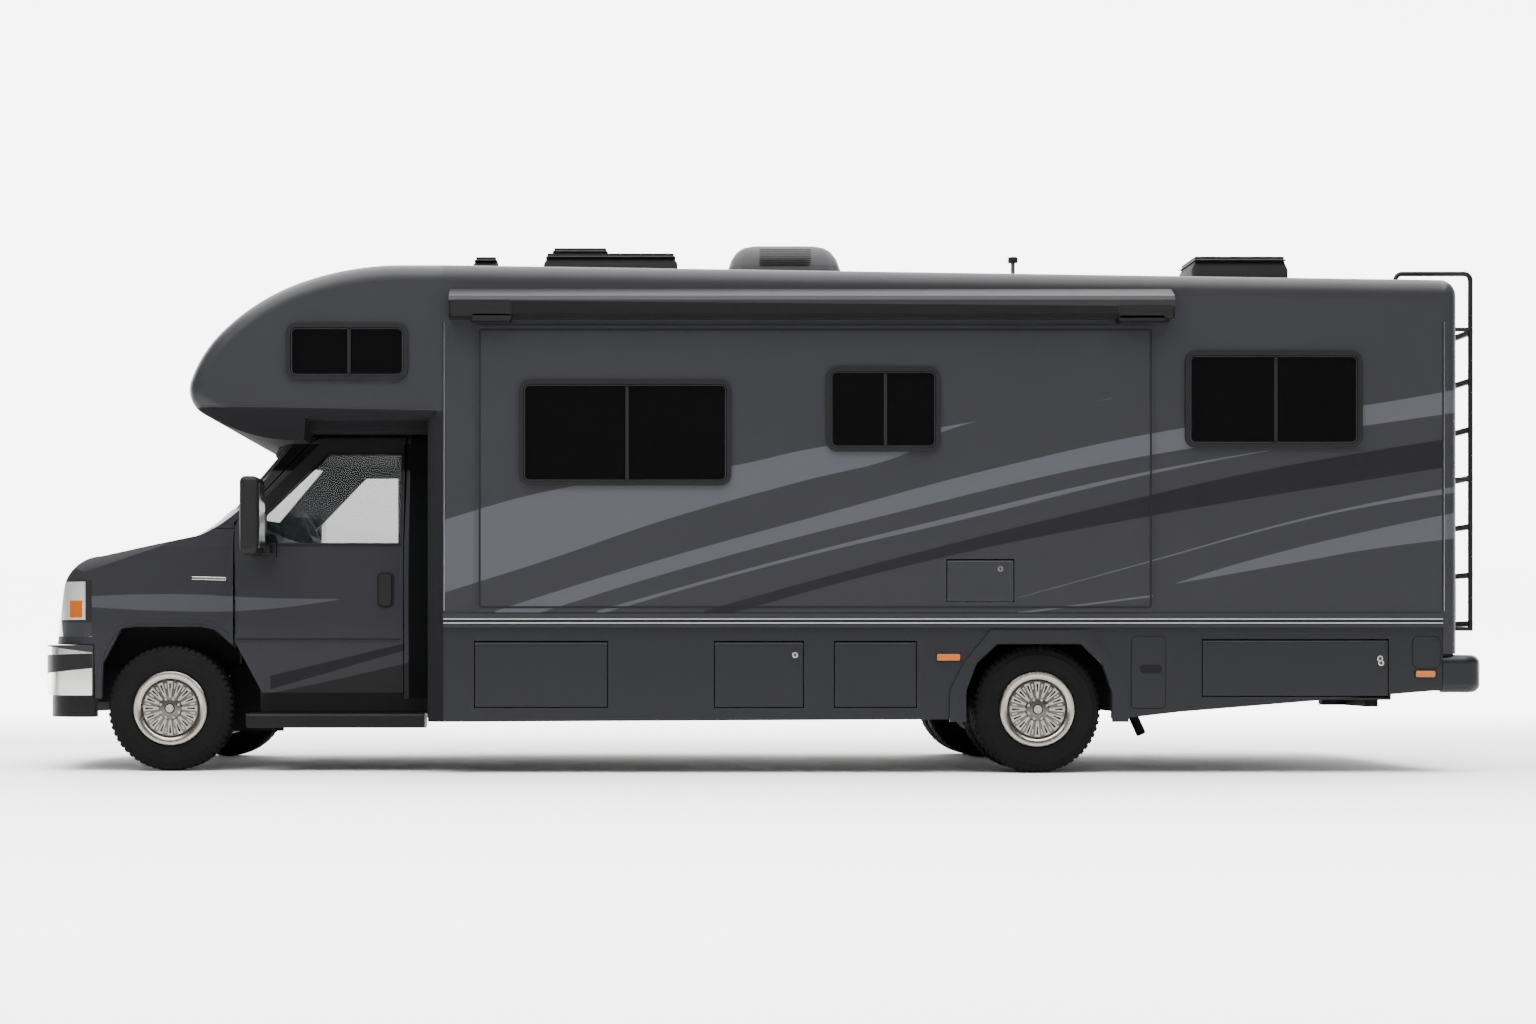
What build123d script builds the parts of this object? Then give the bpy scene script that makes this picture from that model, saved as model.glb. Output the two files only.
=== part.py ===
"""Cab-over motorhome on a cutaway van chassis, in millimetres.

The front points along -X, the left side along -Y, and the origin is on the ground in the middle of the
vehicle's box. Left-hand pieces are modelled first, and the right-hand ones mirror them.
"""

import os
from math import hypot

from build123d import *

os.makedirs("parts", exist_ok=True)

# Chassis sizes
front_overhang = 900.0
wheelbase = 5100.0
rear_overhang = 2590.0
overall_length = front_overhang + wheelbase + rear_overhang
nose_x = -overall_length / 2
tail_x = overall_length / 2
front_axle_x = nose_x + front_overhang
rear_axle_x = front_axle_x + wheelbase

rail_inner_y = 380.0
rail_width = 52.0
rail_bottom_z = 610.0
floor_bottom_z = 800.0
rail_outer_y = rail_inner_y + rail_width
rail_mid_y = rail_inner_y + rail_width / 2

# Wheels and axles
tyre_diameter = 744.0
tyre_width = 222.0
tread_width = 184.0
tread_drop = 10.0
bead_diameter = 412.0
bead_width = 152.0
rim_width = 208.0
rim_lip = 13.0
rim_wall = 12.0
wheel_disc = 14.0
seat_gap = 0.3
pin_gap = 0.08
wheel_radius = tyre_diameter / 2
front_track = 1764.0
twin_outer_y = 1085.0
twin_inner_y = 795.0
kingpin_y = 700.0
kingpin_radius = 28.0
spindle_radius = 32.0
rear_spindle_radius = 40.0
axle_tube_radius = 65.0

# Cab sizes
cab_half_width = 1007.0
cab_bottom_z = 400.0
cab_roof_z = 2010.0
cab_back_x = front_axle_x + 1543.7
cab_wall = 60.0
cab_floor = 50.0
fender_wall = 30.0
nose_centre_x = front_axle_x + 2345.0
nose_side_y = 900.0
panel_gap = 6.0
glass_inset = 20.0
glass_thickness = 6.0

# House sizes
house_width = 2500.0
house_half = house_width / 2
wall = 50.0
cap_seam_x = front_axle_x + 1640.0
rear_seam_x = tail_x - 250.0
roof_front_z = 2968.0
roof_rear_z = 2881.0
roof_edge_radius = 105.0
roof_thickness = 60.0
wall_bottom_z = 850.0
floor_thickness = 70.0
skirt_thickness = 30.0
skirt_bottom_z = 300.0
skirt_tail_z = 485.0
rail_moulding_top_z = 930.0
moulding_depth = 12.0
window_flange = 22.0
window_lip = 8.0
window_corner = 60.0
hinge_pin_radius = 5.0
hinge_edge = 14.0


def roof_z(x):
    """Height of the roof's side edge, which falls evenly from the cap seam to the rear seam."""
    share = (x - cap_seam_x) / (rear_seam_x - cap_seam_x)
    return roof_front_z + share * (roof_rear_z - roof_front_z)


def save(part, name):
    """Labels a finished piece and writes it to its own file."""
    part.label = name
    export_step(part, f"parts/{name}.step")


def block(x0, x1, y0, y1, z0, z1):
    """Box between two corners."""
    with BuildPart() as body:
        with BuildSketch(Plane.XY.offset(z0)):
            with Locations(((x0 + x1) / 2, (y0 + y1) / 2)):
                Rectangle(x1 - x0, y1 - y0)
        extrude(amount=z1 - z0)
    return body.part


def side_prism(points, y0, y1):
    """Prism with a side-view outline of (x, z) points, between two Y planes."""
    with BuildPart() as body:
        with BuildSketch(Plane.XZ.offset(-y1)):
            with BuildLine():
                Polyline(*points, close=True)
            make_face()
        extrude(amount=y1 - y0)
    return body.part


def side_plate(x0, x1, z0, z1, corner, y0, y1):
    """Rounded rectangle in side view, between two Y planes."""
    with BuildPart() as body:
        with BuildSketch(Plane.XZ.offset(-y1)):
            with Locations(((x0 + x1) / 2, (z0 + z1) / 2)):
                RectangleRounded(x1 - x0, z1 - z0, corner)
        extrude(amount=y1 - y0)
    return body.part


def rod(start, end, radius):
    """Round bar between two points."""
    way = Vector(*end) - Vector(*start)
    with BuildPart() as body:
        with BuildSketch(Plane(origin=start, z_dir=way)):
            Circle(radius)
        extrude(amount=way.length)
    return body.part


def other_side(part):
    """Mirror image on the right-hand side."""
    return mirror(part, about=Plane.XZ)


# Frame: two rails, cross members and a dropped member under the engine
frame_front_x = nose_x + 230.0
frame_rear_x = tail_x - 300.0
cross_member_xs = [front_axle_x + 1500, front_axle_x + 2900, rear_axle_x - 900, rear_axle_x + 800,
                   frame_rear_x - 60]
cross_member_width = 80.0
cross_member_bottom_z = rail_bottom_z + 60
engine_bottom_z = 560.0
engine_member_x = front_axle_x - 255.0
engine_member_z = 480.0
hitch_length = 240.0
hitch_half = 32.0
hitch_bore = 25.5
hitch_pin_radius = 8.0
hitch_drop = 210.0

with BuildPart() as frame_rails:
    for side in (-1, 1):
        add(block(frame_front_x, frame_rear_x, side * rail_mid_y - rail_width / 2,
                  side * rail_mid_y + rail_width / 2,
                  rail_bottom_z, floor_bottom_z))
        add(block(engine_member_x - 50, engine_member_x + 50, side * rail_mid_y - rail_width / 2,
                  side * rail_mid_y + rail_width / 2, engine_member_z, rail_bottom_z))
    for x in cross_member_xs:
        add(block(x - cross_member_width / 2, x + cross_member_width / 2, -rail_inner_y, rail_inner_y,
                  cross_member_bottom_z, floor_bottom_z))
    add(block(engine_member_x - 50, engine_member_x + 50, -rail_inner_y, rail_inner_y, engine_member_z,
              engine_bottom_z))
save(frame_rails.part, "frame_rails")

# Tow hitch: square receiver tube under the tail of the frame
hitch_z = rail_bottom_z - hitch_drop
hitch_front_x = frame_rear_x - hitch_length
with BuildPart() as hitch:
    add(block(frame_rear_x - 110, frame_rear_x - 30, -rail_outer_y, rail_outer_y, hitch_z - hitch_half,
              hitch_z + hitch_half))
    for side in (-1, 1):
        add(block(frame_rear_x - 110, frame_rear_x - 30, side * rail_mid_y - rail_width / 2,
                  side * rail_mid_y + rail_width / 2, hitch_z + hitch_half, rail_bottom_z))
    add(block(hitch_front_x, frame_rear_x + 60, -hitch_half, hitch_half, hitch_z - hitch_half,
              hitch_z + hitch_half))
    add(block(hitch_front_x + 80, frame_rear_x + 60, -hitch_bore, hitch_bore, hitch_z - hitch_bore,
              hitch_z + hitch_bore), mode=Mode.SUBTRACT)
    add(rod((frame_rear_x + 25, -60, hitch_z), (frame_rear_x + 25, 60, hitch_z), hitch_pin_radius),
        mode=Mode.SUBTRACT)
save(hitch.part, "tow_hitch")

# Front axle: a beam with kingpin eyes and a spring tower under each rail
beam_half = 45.0
eye_radius = 50.0
eye_half = 45.0
tower_radius = 24.0
with BuildPart() as front_axle:
    add(rod((front_axle_x, -kingpin_y, wheel_radius), (front_axle_x, kingpin_y, wheel_radius),
            beam_half - 5))
    for side in (-1, 1):
        add(rod((front_axle_x, side * kingpin_y, wheel_radius - eye_half),
                (front_axle_x, side * kingpin_y, wheel_radius + eye_half), eye_radius))
        add(rod((front_axle_x, side * rail_mid_y, wheel_radius),
                (front_axle_x, side * rail_mid_y, rail_bottom_z),
                tower_radius))
        add(rod((front_axle_x, side * kingpin_y, wheel_radius - 2 * eye_half),
                (front_axle_x, side * kingpin_y, wheel_radius + 2 * eye_half), kingpin_radius + pin_gap),
            mode=Mode.SUBTRACT)
save(front_axle.part, "front_axle")

# Steering knuckles: a kingpin, two arms around the axle's eye and the wheel's spindle
knuckle_inner_y = kingpin_y + eye_radius + 6
knuckle_outer_y = knuckle_inner_y + 18
arm_inner_z = eye_half + 6
arm_outer_z = arm_inner_z + 50
front_wheel_y = front_track / 2
spindle_end_y = front_wheel_y + 50
with BuildPart() as knuckle_left:
    add(rod((front_axle_x, -kingpin_y, wheel_radius - arm_outer_z),
            (front_axle_x, -kingpin_y, wheel_radius + arm_outer_z), kingpin_radius))
    for low, high in ((-arm_outer_z, -arm_inner_z), (arm_inner_z, arm_outer_z)):
        add(block(front_axle_x - 34, front_axle_x + 34, -knuckle_outer_y, -kingpin_y + 30,
                  wheel_radius + low,
                  wheel_radius + high))
    add(block(front_axle_x - 60, front_axle_x + 60, -knuckle_outer_y, -knuckle_inner_y,
              wheel_radius - arm_outer_z,
              wheel_radius + arm_outer_z))
    add(rod((front_axle_x, -knuckle_outer_y, wheel_radius), (front_axle_x, -spindle_end_y, wheel_radius),
            spindle_radius))
save(knuckle_left.part, "knuckle_left")
save(other_side(knuckle_left.part), "knuckle_right")

# Rear axle: tube, differential and spindle ends
diff_radius = 165.0
diff_half = 130.0
axle_tube_end_y = twin_inner_y - rim_width / 2 - 40
with BuildPart() as rear_axle:
    add(rod((rear_axle_x, -axle_tube_end_y, wheel_radius), (rear_axle_x, axle_tube_end_y, wheel_radius),
            axle_tube_radius))
    add(rod((rear_axle_x, -twin_outer_y, wheel_radius), (rear_axle_x, twin_outer_y, wheel_radius),
            rear_spindle_radius))
    add(rod((rear_axle_x, -diff_half, wheel_radius), (rear_axle_x, diff_half, wheel_radius), diff_radius))
save(rear_axle.part, "rear_axle")

# Leaf springs: curved packs on the rear axle, hung from the rails by a bracket at each end
spring_length = 1300.0
spring_width = 76.0
spring_y = rail_outer_y + 10 + spring_width / 2
spring_rise = 100.0
leaf_thickness = 16.0
leaf_shares = (1.0, 0.74, 0.5)
spring_seat_z = wheel_radius + axle_tube_radius + seat_gap
with BuildPart() as leaf_springs:
    for side in (-1, 1):
        y0 = side * spring_y - spring_width / 2
        for row, share in enumerate(leaf_shares):
            half = spring_length / 2 * share
            low = spring_seat_z + leaf_thickness * (len(leaf_shares) - row)
            rise = spring_rise * share**2
            with BuildSketch(Plane.XZ.offset(-y0 - spring_width)):
                with BuildLine():
                    upper = ThreePointArc((rear_axle_x - half, low + rise + leaf_thickness),
                                          (rear_axle_x, low + leaf_thickness),
                                          (rear_axle_x + half, low + rise + leaf_thickness))
                    lower = ThreePointArc((rear_axle_x - half, low + rise), (rear_axle_x, low),
                                          (rear_axle_x + half, low + rise))
                    Line(upper @ 0, lower @ 0)
                    Line(upper @ 1, lower @ 1)
                make_face()
            extrude(amount=spring_width)
        add(block(rear_axle_x - 60, rear_axle_x + 60, y0, y0 + spring_width, spring_seat_z,
                  spring_seat_z + leaf_thickness * 1.5))
        hanger_low = spring_seat_z + leaf_thickness * 3 + spring_rise
        hanger_inner = rail_outer_y * side
        hanger_outer = (spring_y + spring_width / 2) * side
        for end in (-1, 1):
            x = rear_axle_x + end * (spring_length / 2 - 25)
            add(block(x - 30, x + 30, min(hanger_inner, hanger_outer), max(hanger_inner, hanger_outer),
                      hanger_low - 12,
                      rail_bottom_z + 70))
save(leaf_springs.part, "leaf_springs")

# Powertrain: engine block, gearbox and propeller shaft, left plain
engine_front_x = front_axle_x - 480.0
engine_rear_x = front_axle_x + 300.0
gearbox_rear_x = engine_rear_x + 800.0
engine_half = 330.0
engine_top_z = 1100.0
gearbox_half = 180.0
gearbox_top_z = 770.0
shaft_radius = 42.0
with BuildPart() as powertrain:
    add(block(engine_front_x, engine_rear_x, -engine_half, engine_half, engine_bottom_z, engine_top_z))
    add(block(engine_rear_x, gearbox_rear_x, -gearbox_half, gearbox_half, engine_bottom_z - 70,
              gearbox_top_z))
    add(rod((gearbox_rear_x - 40, 0, engine_bottom_z),
            (rear_axle_x - diff_radius - 60, 0, wheel_radius + 12),
            shaft_radius))
    add(block(rear_axle_x - diff_radius - 100, rear_axle_x - diff_radius - seat_gap, -55, 55,
              wheel_radius - 60,
              wheel_radius + 60))
save(powertrain.part, "powertrain")

# Tanks: fuel behind the axle and waste ahead of it, strapped under the floor
tank_table = (
    # x0, x1, y0, y1, z0, z1
    (rear_axle_x + 900, rear_axle_x + 1700, -360, 360, 440, floor_bottom_z),
    (front_axle_x + 3000, front_axle_x + 3900, 470, 760, 420, floor_bottom_z),
)
with BuildPart() as tanks:
    for tank in tank_table:
        add(block(*tank))
    fillet(tanks.part.edges().filter_by(Axis.X).group_by(Axis.Z)[0], 40)
save(tanks.part, "tanks")

# Exhaust: front pipe, silencer and a tail pipe turned down behind the rear wheels
exhaust_y = -250.0
exhaust_z = 470.0
pipe_radius = 30.0
silencer_radius = 95.0
silencer_x = (front_axle_x + 1900, front_axle_x + 2600)
tail_pipe_x = rear_axle_x + 780.0
with BuildPart() as exhaust:
    with BuildLine() as pipe_run:
        FilletPolyline((front_axle_x + 700, exhaust_y, exhaust_z),
                       (rear_axle_x - 650, exhaust_y, exhaust_z),
                       (rear_axle_x - 350, exhaust_y, exhaust_z + 90),
                       (rear_axle_x + 420, exhaust_y, exhaust_z + 90),
                       (tail_pipe_x, exhaust_y, exhaust_z - 150),
                       (tail_pipe_x + 60, exhaust_y, exhaust_z - 280),
                       radius=90)
    with BuildSketch(Plane(origin=pipe_run.line @ 0, z_dir=pipe_run.line % 0)):
        Circle(pipe_radius)
    sweep()
    add(rod((silencer_x[0], exhaust_y, exhaust_z), (silencer_x[1], exhaust_y, exhaust_z), silencer_radius))
    for x in (silencer_x[0] - 60, silencer_x[1] + 60):
        add(block(x - 20, x + 20, -rail_inner_y - 20, exhaust_y, exhaust_z - 10, exhaust_z + 10))
        add(block(x - 20, x + 20, -rail_inner_y - 20, -rail_inner_y - 10, exhaust_z - 10, rail_bottom_z))
save(exhaust.part, "exhaust")

# Tyres and wheels, drawn as (y, radius) about a wheel centre
hand_hole_count = 8
hand_hole_ring = 150.0
hand_hole_radius = 20.0
hub_radius = 60.0
hub_nose = 92.0
rim_seat_radius = bead_diameter / 2 - seat_gap
rim_bore_radius = rim_seat_radius - rim_wall


def ring_about(x, outline_points):
    """Solid of revolution about a wheel axis at x, from a closed list of (y, radius) points."""
    with BuildPart() as ring:
        with BuildSketch(Plane.YZ.offset(x)):
            with BuildLine():
                Polyline(*[(y, wheel_radius + r) for y, r in outline_points], close=True)
            make_face()
        revolve(axis=Axis((x, 0, wheel_radius), (0, 1, 0)))
    return ring.part


def tyre(x, y):
    """Tyre with bulged side walls and a crowned tread, centred at y."""
    shoulder = wheel_radius - tread_drop
    bulge = (wheel_radius + bead_diameter / 2) / 2 + 12
    with BuildPart() as ring:
        with BuildSketch(Plane.YZ.offset(x)):
            with BuildLine():
                ThreePointArc((y - bead_width / 2, wheel_radius + bead_diameter / 2),
                              (y - tyre_width / 2, wheel_radius + bulge),
                              (y - tread_width / 2, wheel_radius + shoulder))
                ThreePointArc((y - tread_width / 2, wheel_radius + shoulder), (y, 2 * wheel_radius),
                              (y + tread_width / 2, wheel_radius + shoulder))
                ThreePointArc((y + tread_width / 2, wheel_radius + shoulder),
                              (y + tyre_width / 2, wheel_radius + bulge),
                              (y + bead_width / 2, wheel_radius + bead_diameter / 2))
                Line((y + bead_width / 2, wheel_radius + bead_diameter / 2),
                     (y - bead_width / 2, wheel_radius + bead_diameter / 2))
            make_face()
        revolve(axis=Axis((x, 0, wheel_radius), (0, 1, 0)))
    return ring.part


def rim_barrel(x, y):
    """Rim barrel with a raised lip at each end, centred at y."""
    half = rim_width / 2
    lip_inner = half - rim_wall
    lip_radius = rim_seat_radius + rim_lip
    return ring_about(x, [
        (y - half, rim_bore_radius), (y + half, rim_bore_radius), (y + half, lip_radius),
        (y + lip_inner, lip_radius),
        (y + lip_inner, rim_seat_radius), (y - lip_inner, rim_seat_radius), (y - lip_inner, lip_radius),
        (y - half, lip_radius)])


def wheel(x, barrel_ys, disc_y, hub_outer_y, hub_inner_y, bore_radius, bore_depth_y):
    """Left-hand wheel: one or two barrels, their disc with hand holes, and a hub bored for its spindle."""
    with BuildPart() as body:
        for y in barrel_ys:
            add(rim_barrel(x, y))
        add(rod((x, disc_y - wheel_disc / 2, wheel_radius), (x, disc_y + wheel_disc / 2, wheel_radius),
                rim_bore_radius + 2))
        with BuildSketch(Plane.XZ.offset(-disc_y)):
            with Locations((x, wheel_radius)):
                with PolarLocations(hand_hole_ring, hand_hole_count):
                    Circle(hand_hole_radius)
        extrude(amount=wheel_disc, both=True, mode=Mode.SUBTRACT)
        add(rod((x, hub_outer_y, wheel_radius), (x, hub_inner_y, wheel_radius), hub_radius))
        add(rod((x, bore_depth_y, wheel_radius), (x, hub_inner_y + 1, wheel_radius), bore_radius + pin_gap),
            mode=Mode.SUBTRACT)
    return body.part


front_wheel = wheel(front_axle_x, [-front_wheel_y], -front_wheel_y - 40, -front_wheel_y - hub_nose,
                    -knuckle_outer_y - 12, spindle_radius, -spindle_end_y - pin_gap)
twin_mid_y = (twin_outer_y + twin_inner_y) / 2
rear_wheel = wheel(rear_axle_x, [-twin_outer_y, -twin_inner_y], -twin_mid_y, -twin_outer_y - hub_nose,
                   -axle_tube_end_y - 12, rear_spindle_radius, -twin_outer_y - pin_gap)
with BuildPart() as twin_bridge:
    add(rear_wheel)
    add(rod((rear_axle_x, -twin_outer_y + rim_width / 2 - 10, wheel_radius),
            (rear_axle_x, -twin_inner_y - rim_width / 2 + 10, wheel_radius),
            rim_bore_radius + rim_wall / 2))
    add(rod((rear_axle_x, -twin_outer_y + rim_width / 2 - 11, wheel_radius),
            (rear_axle_x, -twin_inner_y - rim_width / 2 + 11, wheel_radius), rim_bore_radius),
            mode=Mode.SUBTRACT)
    add(rear_wheel)
front_tyre = tyre(front_axle_x, -front_wheel_y)
rear_tyres = Part() + [tyre(rear_axle_x, -twin_outer_y), tyre(rear_axle_x, -twin_inner_y)]
for name, left_part in (("wheel_front", front_wheel), ("wheels_rear", twin_bridge.part),
                        ("tyre_front", front_tyre),
                        ("tyres_rear", rear_tyres)):
    save(left_part, f"{name}_left")
    save(other_side(left_part), f"{name}_right")


# Cab body: a nose and windshield curved in plan, cut to the section seen from the front, with round corners
# Side-view points are given as x at the body side, and height
face_profile = ((front_axle_x - 690, cab_bottom_z), (front_axle_x - 690, 748.0),
                (front_axle_x - 653, 1085.0))
brow_bend = (front_axle_x - 585, 1213.0)
hood_profile = ((front_axle_x - 428, 1277.0), (front_axle_x - 130, 1343.0), (front_axle_x + 138, 1399.0))
cowl_bend = (front_axle_x + 283, 1478.0)
screen_foot = (front_axle_x + 405, 1578.0)
screen_head = (front_axle_x + 784, cab_roof_z)
shoulder_table = (
    # x, foot of the rounding (y, z), middle (y, z), head (y, z)
    (nose_x - 10, (1015.0, 1010.0), (962.0, 1130.0), (780.0, 1215.0)),
    (front_axle_x + 315, (1015.0, 1400.0), (985.0, 1462.0), (930.0, 1500.0)),
)
corner_back_x = front_axle_x - 440.0
corner_front_x = front_axle_x - 740.0
corner_front_y = 740.0


def nose_radius(x):
    """Distance from the plan centre of the nose to a point of the body side."""
    return hypot(nose_centre_x - x, nose_side_y)


def cab_section(inset):
    """Section of the cab seen from the front, moved inwards by the given distance."""
    with BuildSketch(Plane.YZ.offset(cab_back_x), mode=Mode.PRIVATE) as section:
        with BuildLine():
            Line((0, cab_bottom_z), (985 - inset, cab_bottom_z))
            ThreePointArc((985 - inset, cab_bottom_z), (cab_half_width - inset, 900), (998 - inset, 1330))
            Line((998 - inset, 1330), (872 - inset, 1950))
            ThreePointArc((872 - inset, 1950), (845 - inset, 1990 - inset),
                          (790 - inset, cab_roof_z - inset))
            Line((790 - inset, cab_roof_z - inset), (0, cab_roof_z - inset))
            mirror(about=Plane.YZ)
        make_face()
    return section.sketch


def nose_spot(point, inset):
    """Side-view point moved to the centre plane of the nose, and inwards."""
    return (nose_centre_x - nose_radius(point[0]) + inset, point[1] - inset)


def shoulder_form(inset):
    """Rounds the upper side edges of the nose, and leaves the cab behind it as it is."""
    with BuildPart() as body:
        for x, foot, middle, head in shoulder_table:
            with BuildSketch(Plane.YZ.offset(x)):
                with BuildLine():
                    spots = [(y - inset, z - inset) for y, z in (foot, middle, head)]
                    Polyline((0, 300), (spots[0][0], 300), spots[0])
                    ThreePointArc(*spots)
                    Polyline(spots[2], (spots[2][0], 2200), (0, 2200))
                    mirror(about=Plane.YZ)
                make_face()
        loft()
        add(block(shoulder_table[-1][0], cab_back_x + 10, -1100, 1100, 300, 2200))
    return body.part


def cab_volume(inset):
    """Outer form of the cab moved inwards by the given distance."""
    with BuildPart() as body:
        with BuildSketch(Plane.XZ):
            with BuildLine():
                face = [nose_spot(point, inset) for point in face_profile]
                hood_line = [nose_spot(point, inset) for point in hood_profile]
                foot = (nose_spot(screen_foot, inset)[0], screen_foot[1] - inset * 0.7)
                head = (nose_centre_x - nose_radius(screen_head[0]) + inset * 1.6, screen_head[1] - inset)
                Polyline((nose_centre_x, head[1]), (nose_centre_x, cab_bottom_z), *face)
                ThreePointArc(face[-1], nose_spot(brow_bend, inset), hood_line[0])
                Polyline(*hood_line)
                ThreePointArc(hood_line[-1], nose_spot(cowl_bend, inset), foot)
                Polyline(foot, head, (nose_centre_x, head[1]))
            make_face()
        revolve(axis=Axis((nose_centre_x, 0, 0), (0, 0, 1)))
        extrude(cab_section(inset), amount=nose_x - cab_back_x, mode=Mode.INTERSECT)
        with BuildSketch(Plane.XY.offset(cab_bottom_z), mode=Mode.PRIVATE) as plan:
            with BuildLine():
                Line((nose_x, 0), (nose_x, corner_front_y - inset))
                Line((nose_x, corner_front_y - inset),
                     (corner_front_x + inset * 0.7, corner_front_y - inset))
                ThreePointArc((corner_front_x + inset * 0.7, corner_front_y - inset),
                              (corner_front_x + 100 + inset * 0.7, 930 - inset * 0.7),
                              (corner_back_x, cab_half_width + 10 - inset))
                Line((corner_back_x, cab_half_width + 10 - inset),
                     (cab_back_x, cab_half_width + 10 - inset))
                Line((cab_back_x, cab_half_width + 10 - inset), (cab_back_x, 0))
                mirror(about=Plane.XZ)
            make_face()
        extrude(plan.sketch, amount=cab_roof_z, mode=Mode.INTERSECT)
        add(shoulder_form(inset), mode=Mode.INTERSECT)
    return body.part


cab_outer = cab_volume(0)
cab_inner = cab_volume(cab_wall)
cab_skin = cab_outer - cab_inner
fender_skin = cab_outer - cab_volume(fender_wall)
glass_outer = cab_volume(glass_inset)
glass_skin = glass_outer - cab_volume(glass_inset + glass_thickness)

# Side-view regions of the cab's panels
cab_wide = cab_half_width + 60
arch_front_x = front_axle_x - 415.0
arch_rear_x = front_axle_x + 420.0
arch_top_z = 856.0
door_front_x = front_axle_x + 381.0
door_rear_x = front_axle_x + 1382.0
door_bottom_z = 465.0
door_top_z = 1990.0
door_kink = (door_front_x, 777.0)
door_toe = (front_axle_x + 547.0, door_bottom_z)
pillar_head = (front_axle_x + 815.0, 1955.0)
door_outline = [door_kink, door_toe, (door_rear_x, door_bottom_z), (door_rear_x, door_top_z),
                (front_axle_x + 880, door_top_z), pillar_head, (door_front_x, 1470.0)]
door_hole = [(door_front_x - panel_gap, 777.0 - panel_gap), (door_toe[0] - panel_gap - 3, 300.0),
             (door_rear_x + panel_gap, 300.0), (door_rear_x + panel_gap, 1330.0),
             (door_rear_x + 3 * panel_gap, door_top_z + panel_gap),
             (front_axle_x + 874, door_top_z + panel_gap),
             (pillar_head[0] - 6, pillar_head[1] + 6),
             (door_front_x - panel_gap, 1473.0)]
window_outline = [(front_axle_x + 560, 1352.0), (front_axle_x + 1362, 1352.0),
                  (front_axle_x + 1362, 1890.0),
                  (front_axle_x + 930, 1890.0), (front_axle_x + 560, 1520.0)]
arch_outline = [(arch_front_x, 250.0), (arch_front_x + 20, 640.0), (arch_front_x + 130, arch_top_z - 12),
                (arch_front_x + 210, arch_top_z), (arch_rear_x - 240, arch_top_z),
                (arch_rear_x - 150, arch_top_z - 18),
                (arch_rear_x + 5, 700.0), (arch_rear_x + 130, 420.0), (arch_rear_x + 130, 250.0)]
fender_rear_x = door_front_x - panel_gap
hood_half = 640.0
hood_low_z = 1120.0
hood_edge_radius = nose_radius(front_axle_x + 200.0)
cowl_gap = 22.0

door_region = side_prism(door_outline, -cab_wide, -790)
door_clear = side_prism(door_hole, -cab_wide, -784)
window_region = side_prism(window_outline, -cab_wide, -500)
arch_region = side_prism(arch_outline, -cab_wide, -500)

# Hood: the top of the nose between the wings, on two swan-neck arms that lift it clear of the cowl
hood_rod_x = front_axle_x + 195.0
hood_rod_z = 1395.0
hood_rod_radius = 8.0
hood_boss_radius = 16.0
hood_arm_half = 14.0
hood_arm_shape = ((12, 0), (-12, 0), (-12, -170), (-224, -132), (-224, 30), (-248, 30), (-248, -150),
                  (-10, -196),
                  (12, -186))
hood_arm = [(hood_rod_x + x, hood_rod_z + z) for x, z in hood_arm_shape]
hood_wall = 25.0
hood_skin = cab_outer - cab_volume(hood_wall)
hood_arm_ys = (-420.0, 420.0)
with BuildPart() as hood:
    add(hood_skin & block(nose_x, front_axle_x + 262, -hood_half, hood_half, hood_low_z, 1500))
    add(rod((nose_centre_x, 0, 1000), (nose_centre_x, 0, 1700), hood_edge_radius), mode=Mode.SUBTRACT)
    for y in hood_arm_ys:
        add(side_prism(hood_arm, y - hood_arm_half, y + hood_arm_half) & cab_volume(hood_wall - 3))
        boss_ends = [(hood_rod_x, y + end * hood_arm_half, hood_rod_z) for end in (-1, 1)]
        add(rod(*boss_ends, hood_boss_radius))
        add(rod(*boss_ends, hood_rod_radius + pin_gap), mode=Mode.SUBTRACT)
save(hood.part, "hood")

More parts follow.
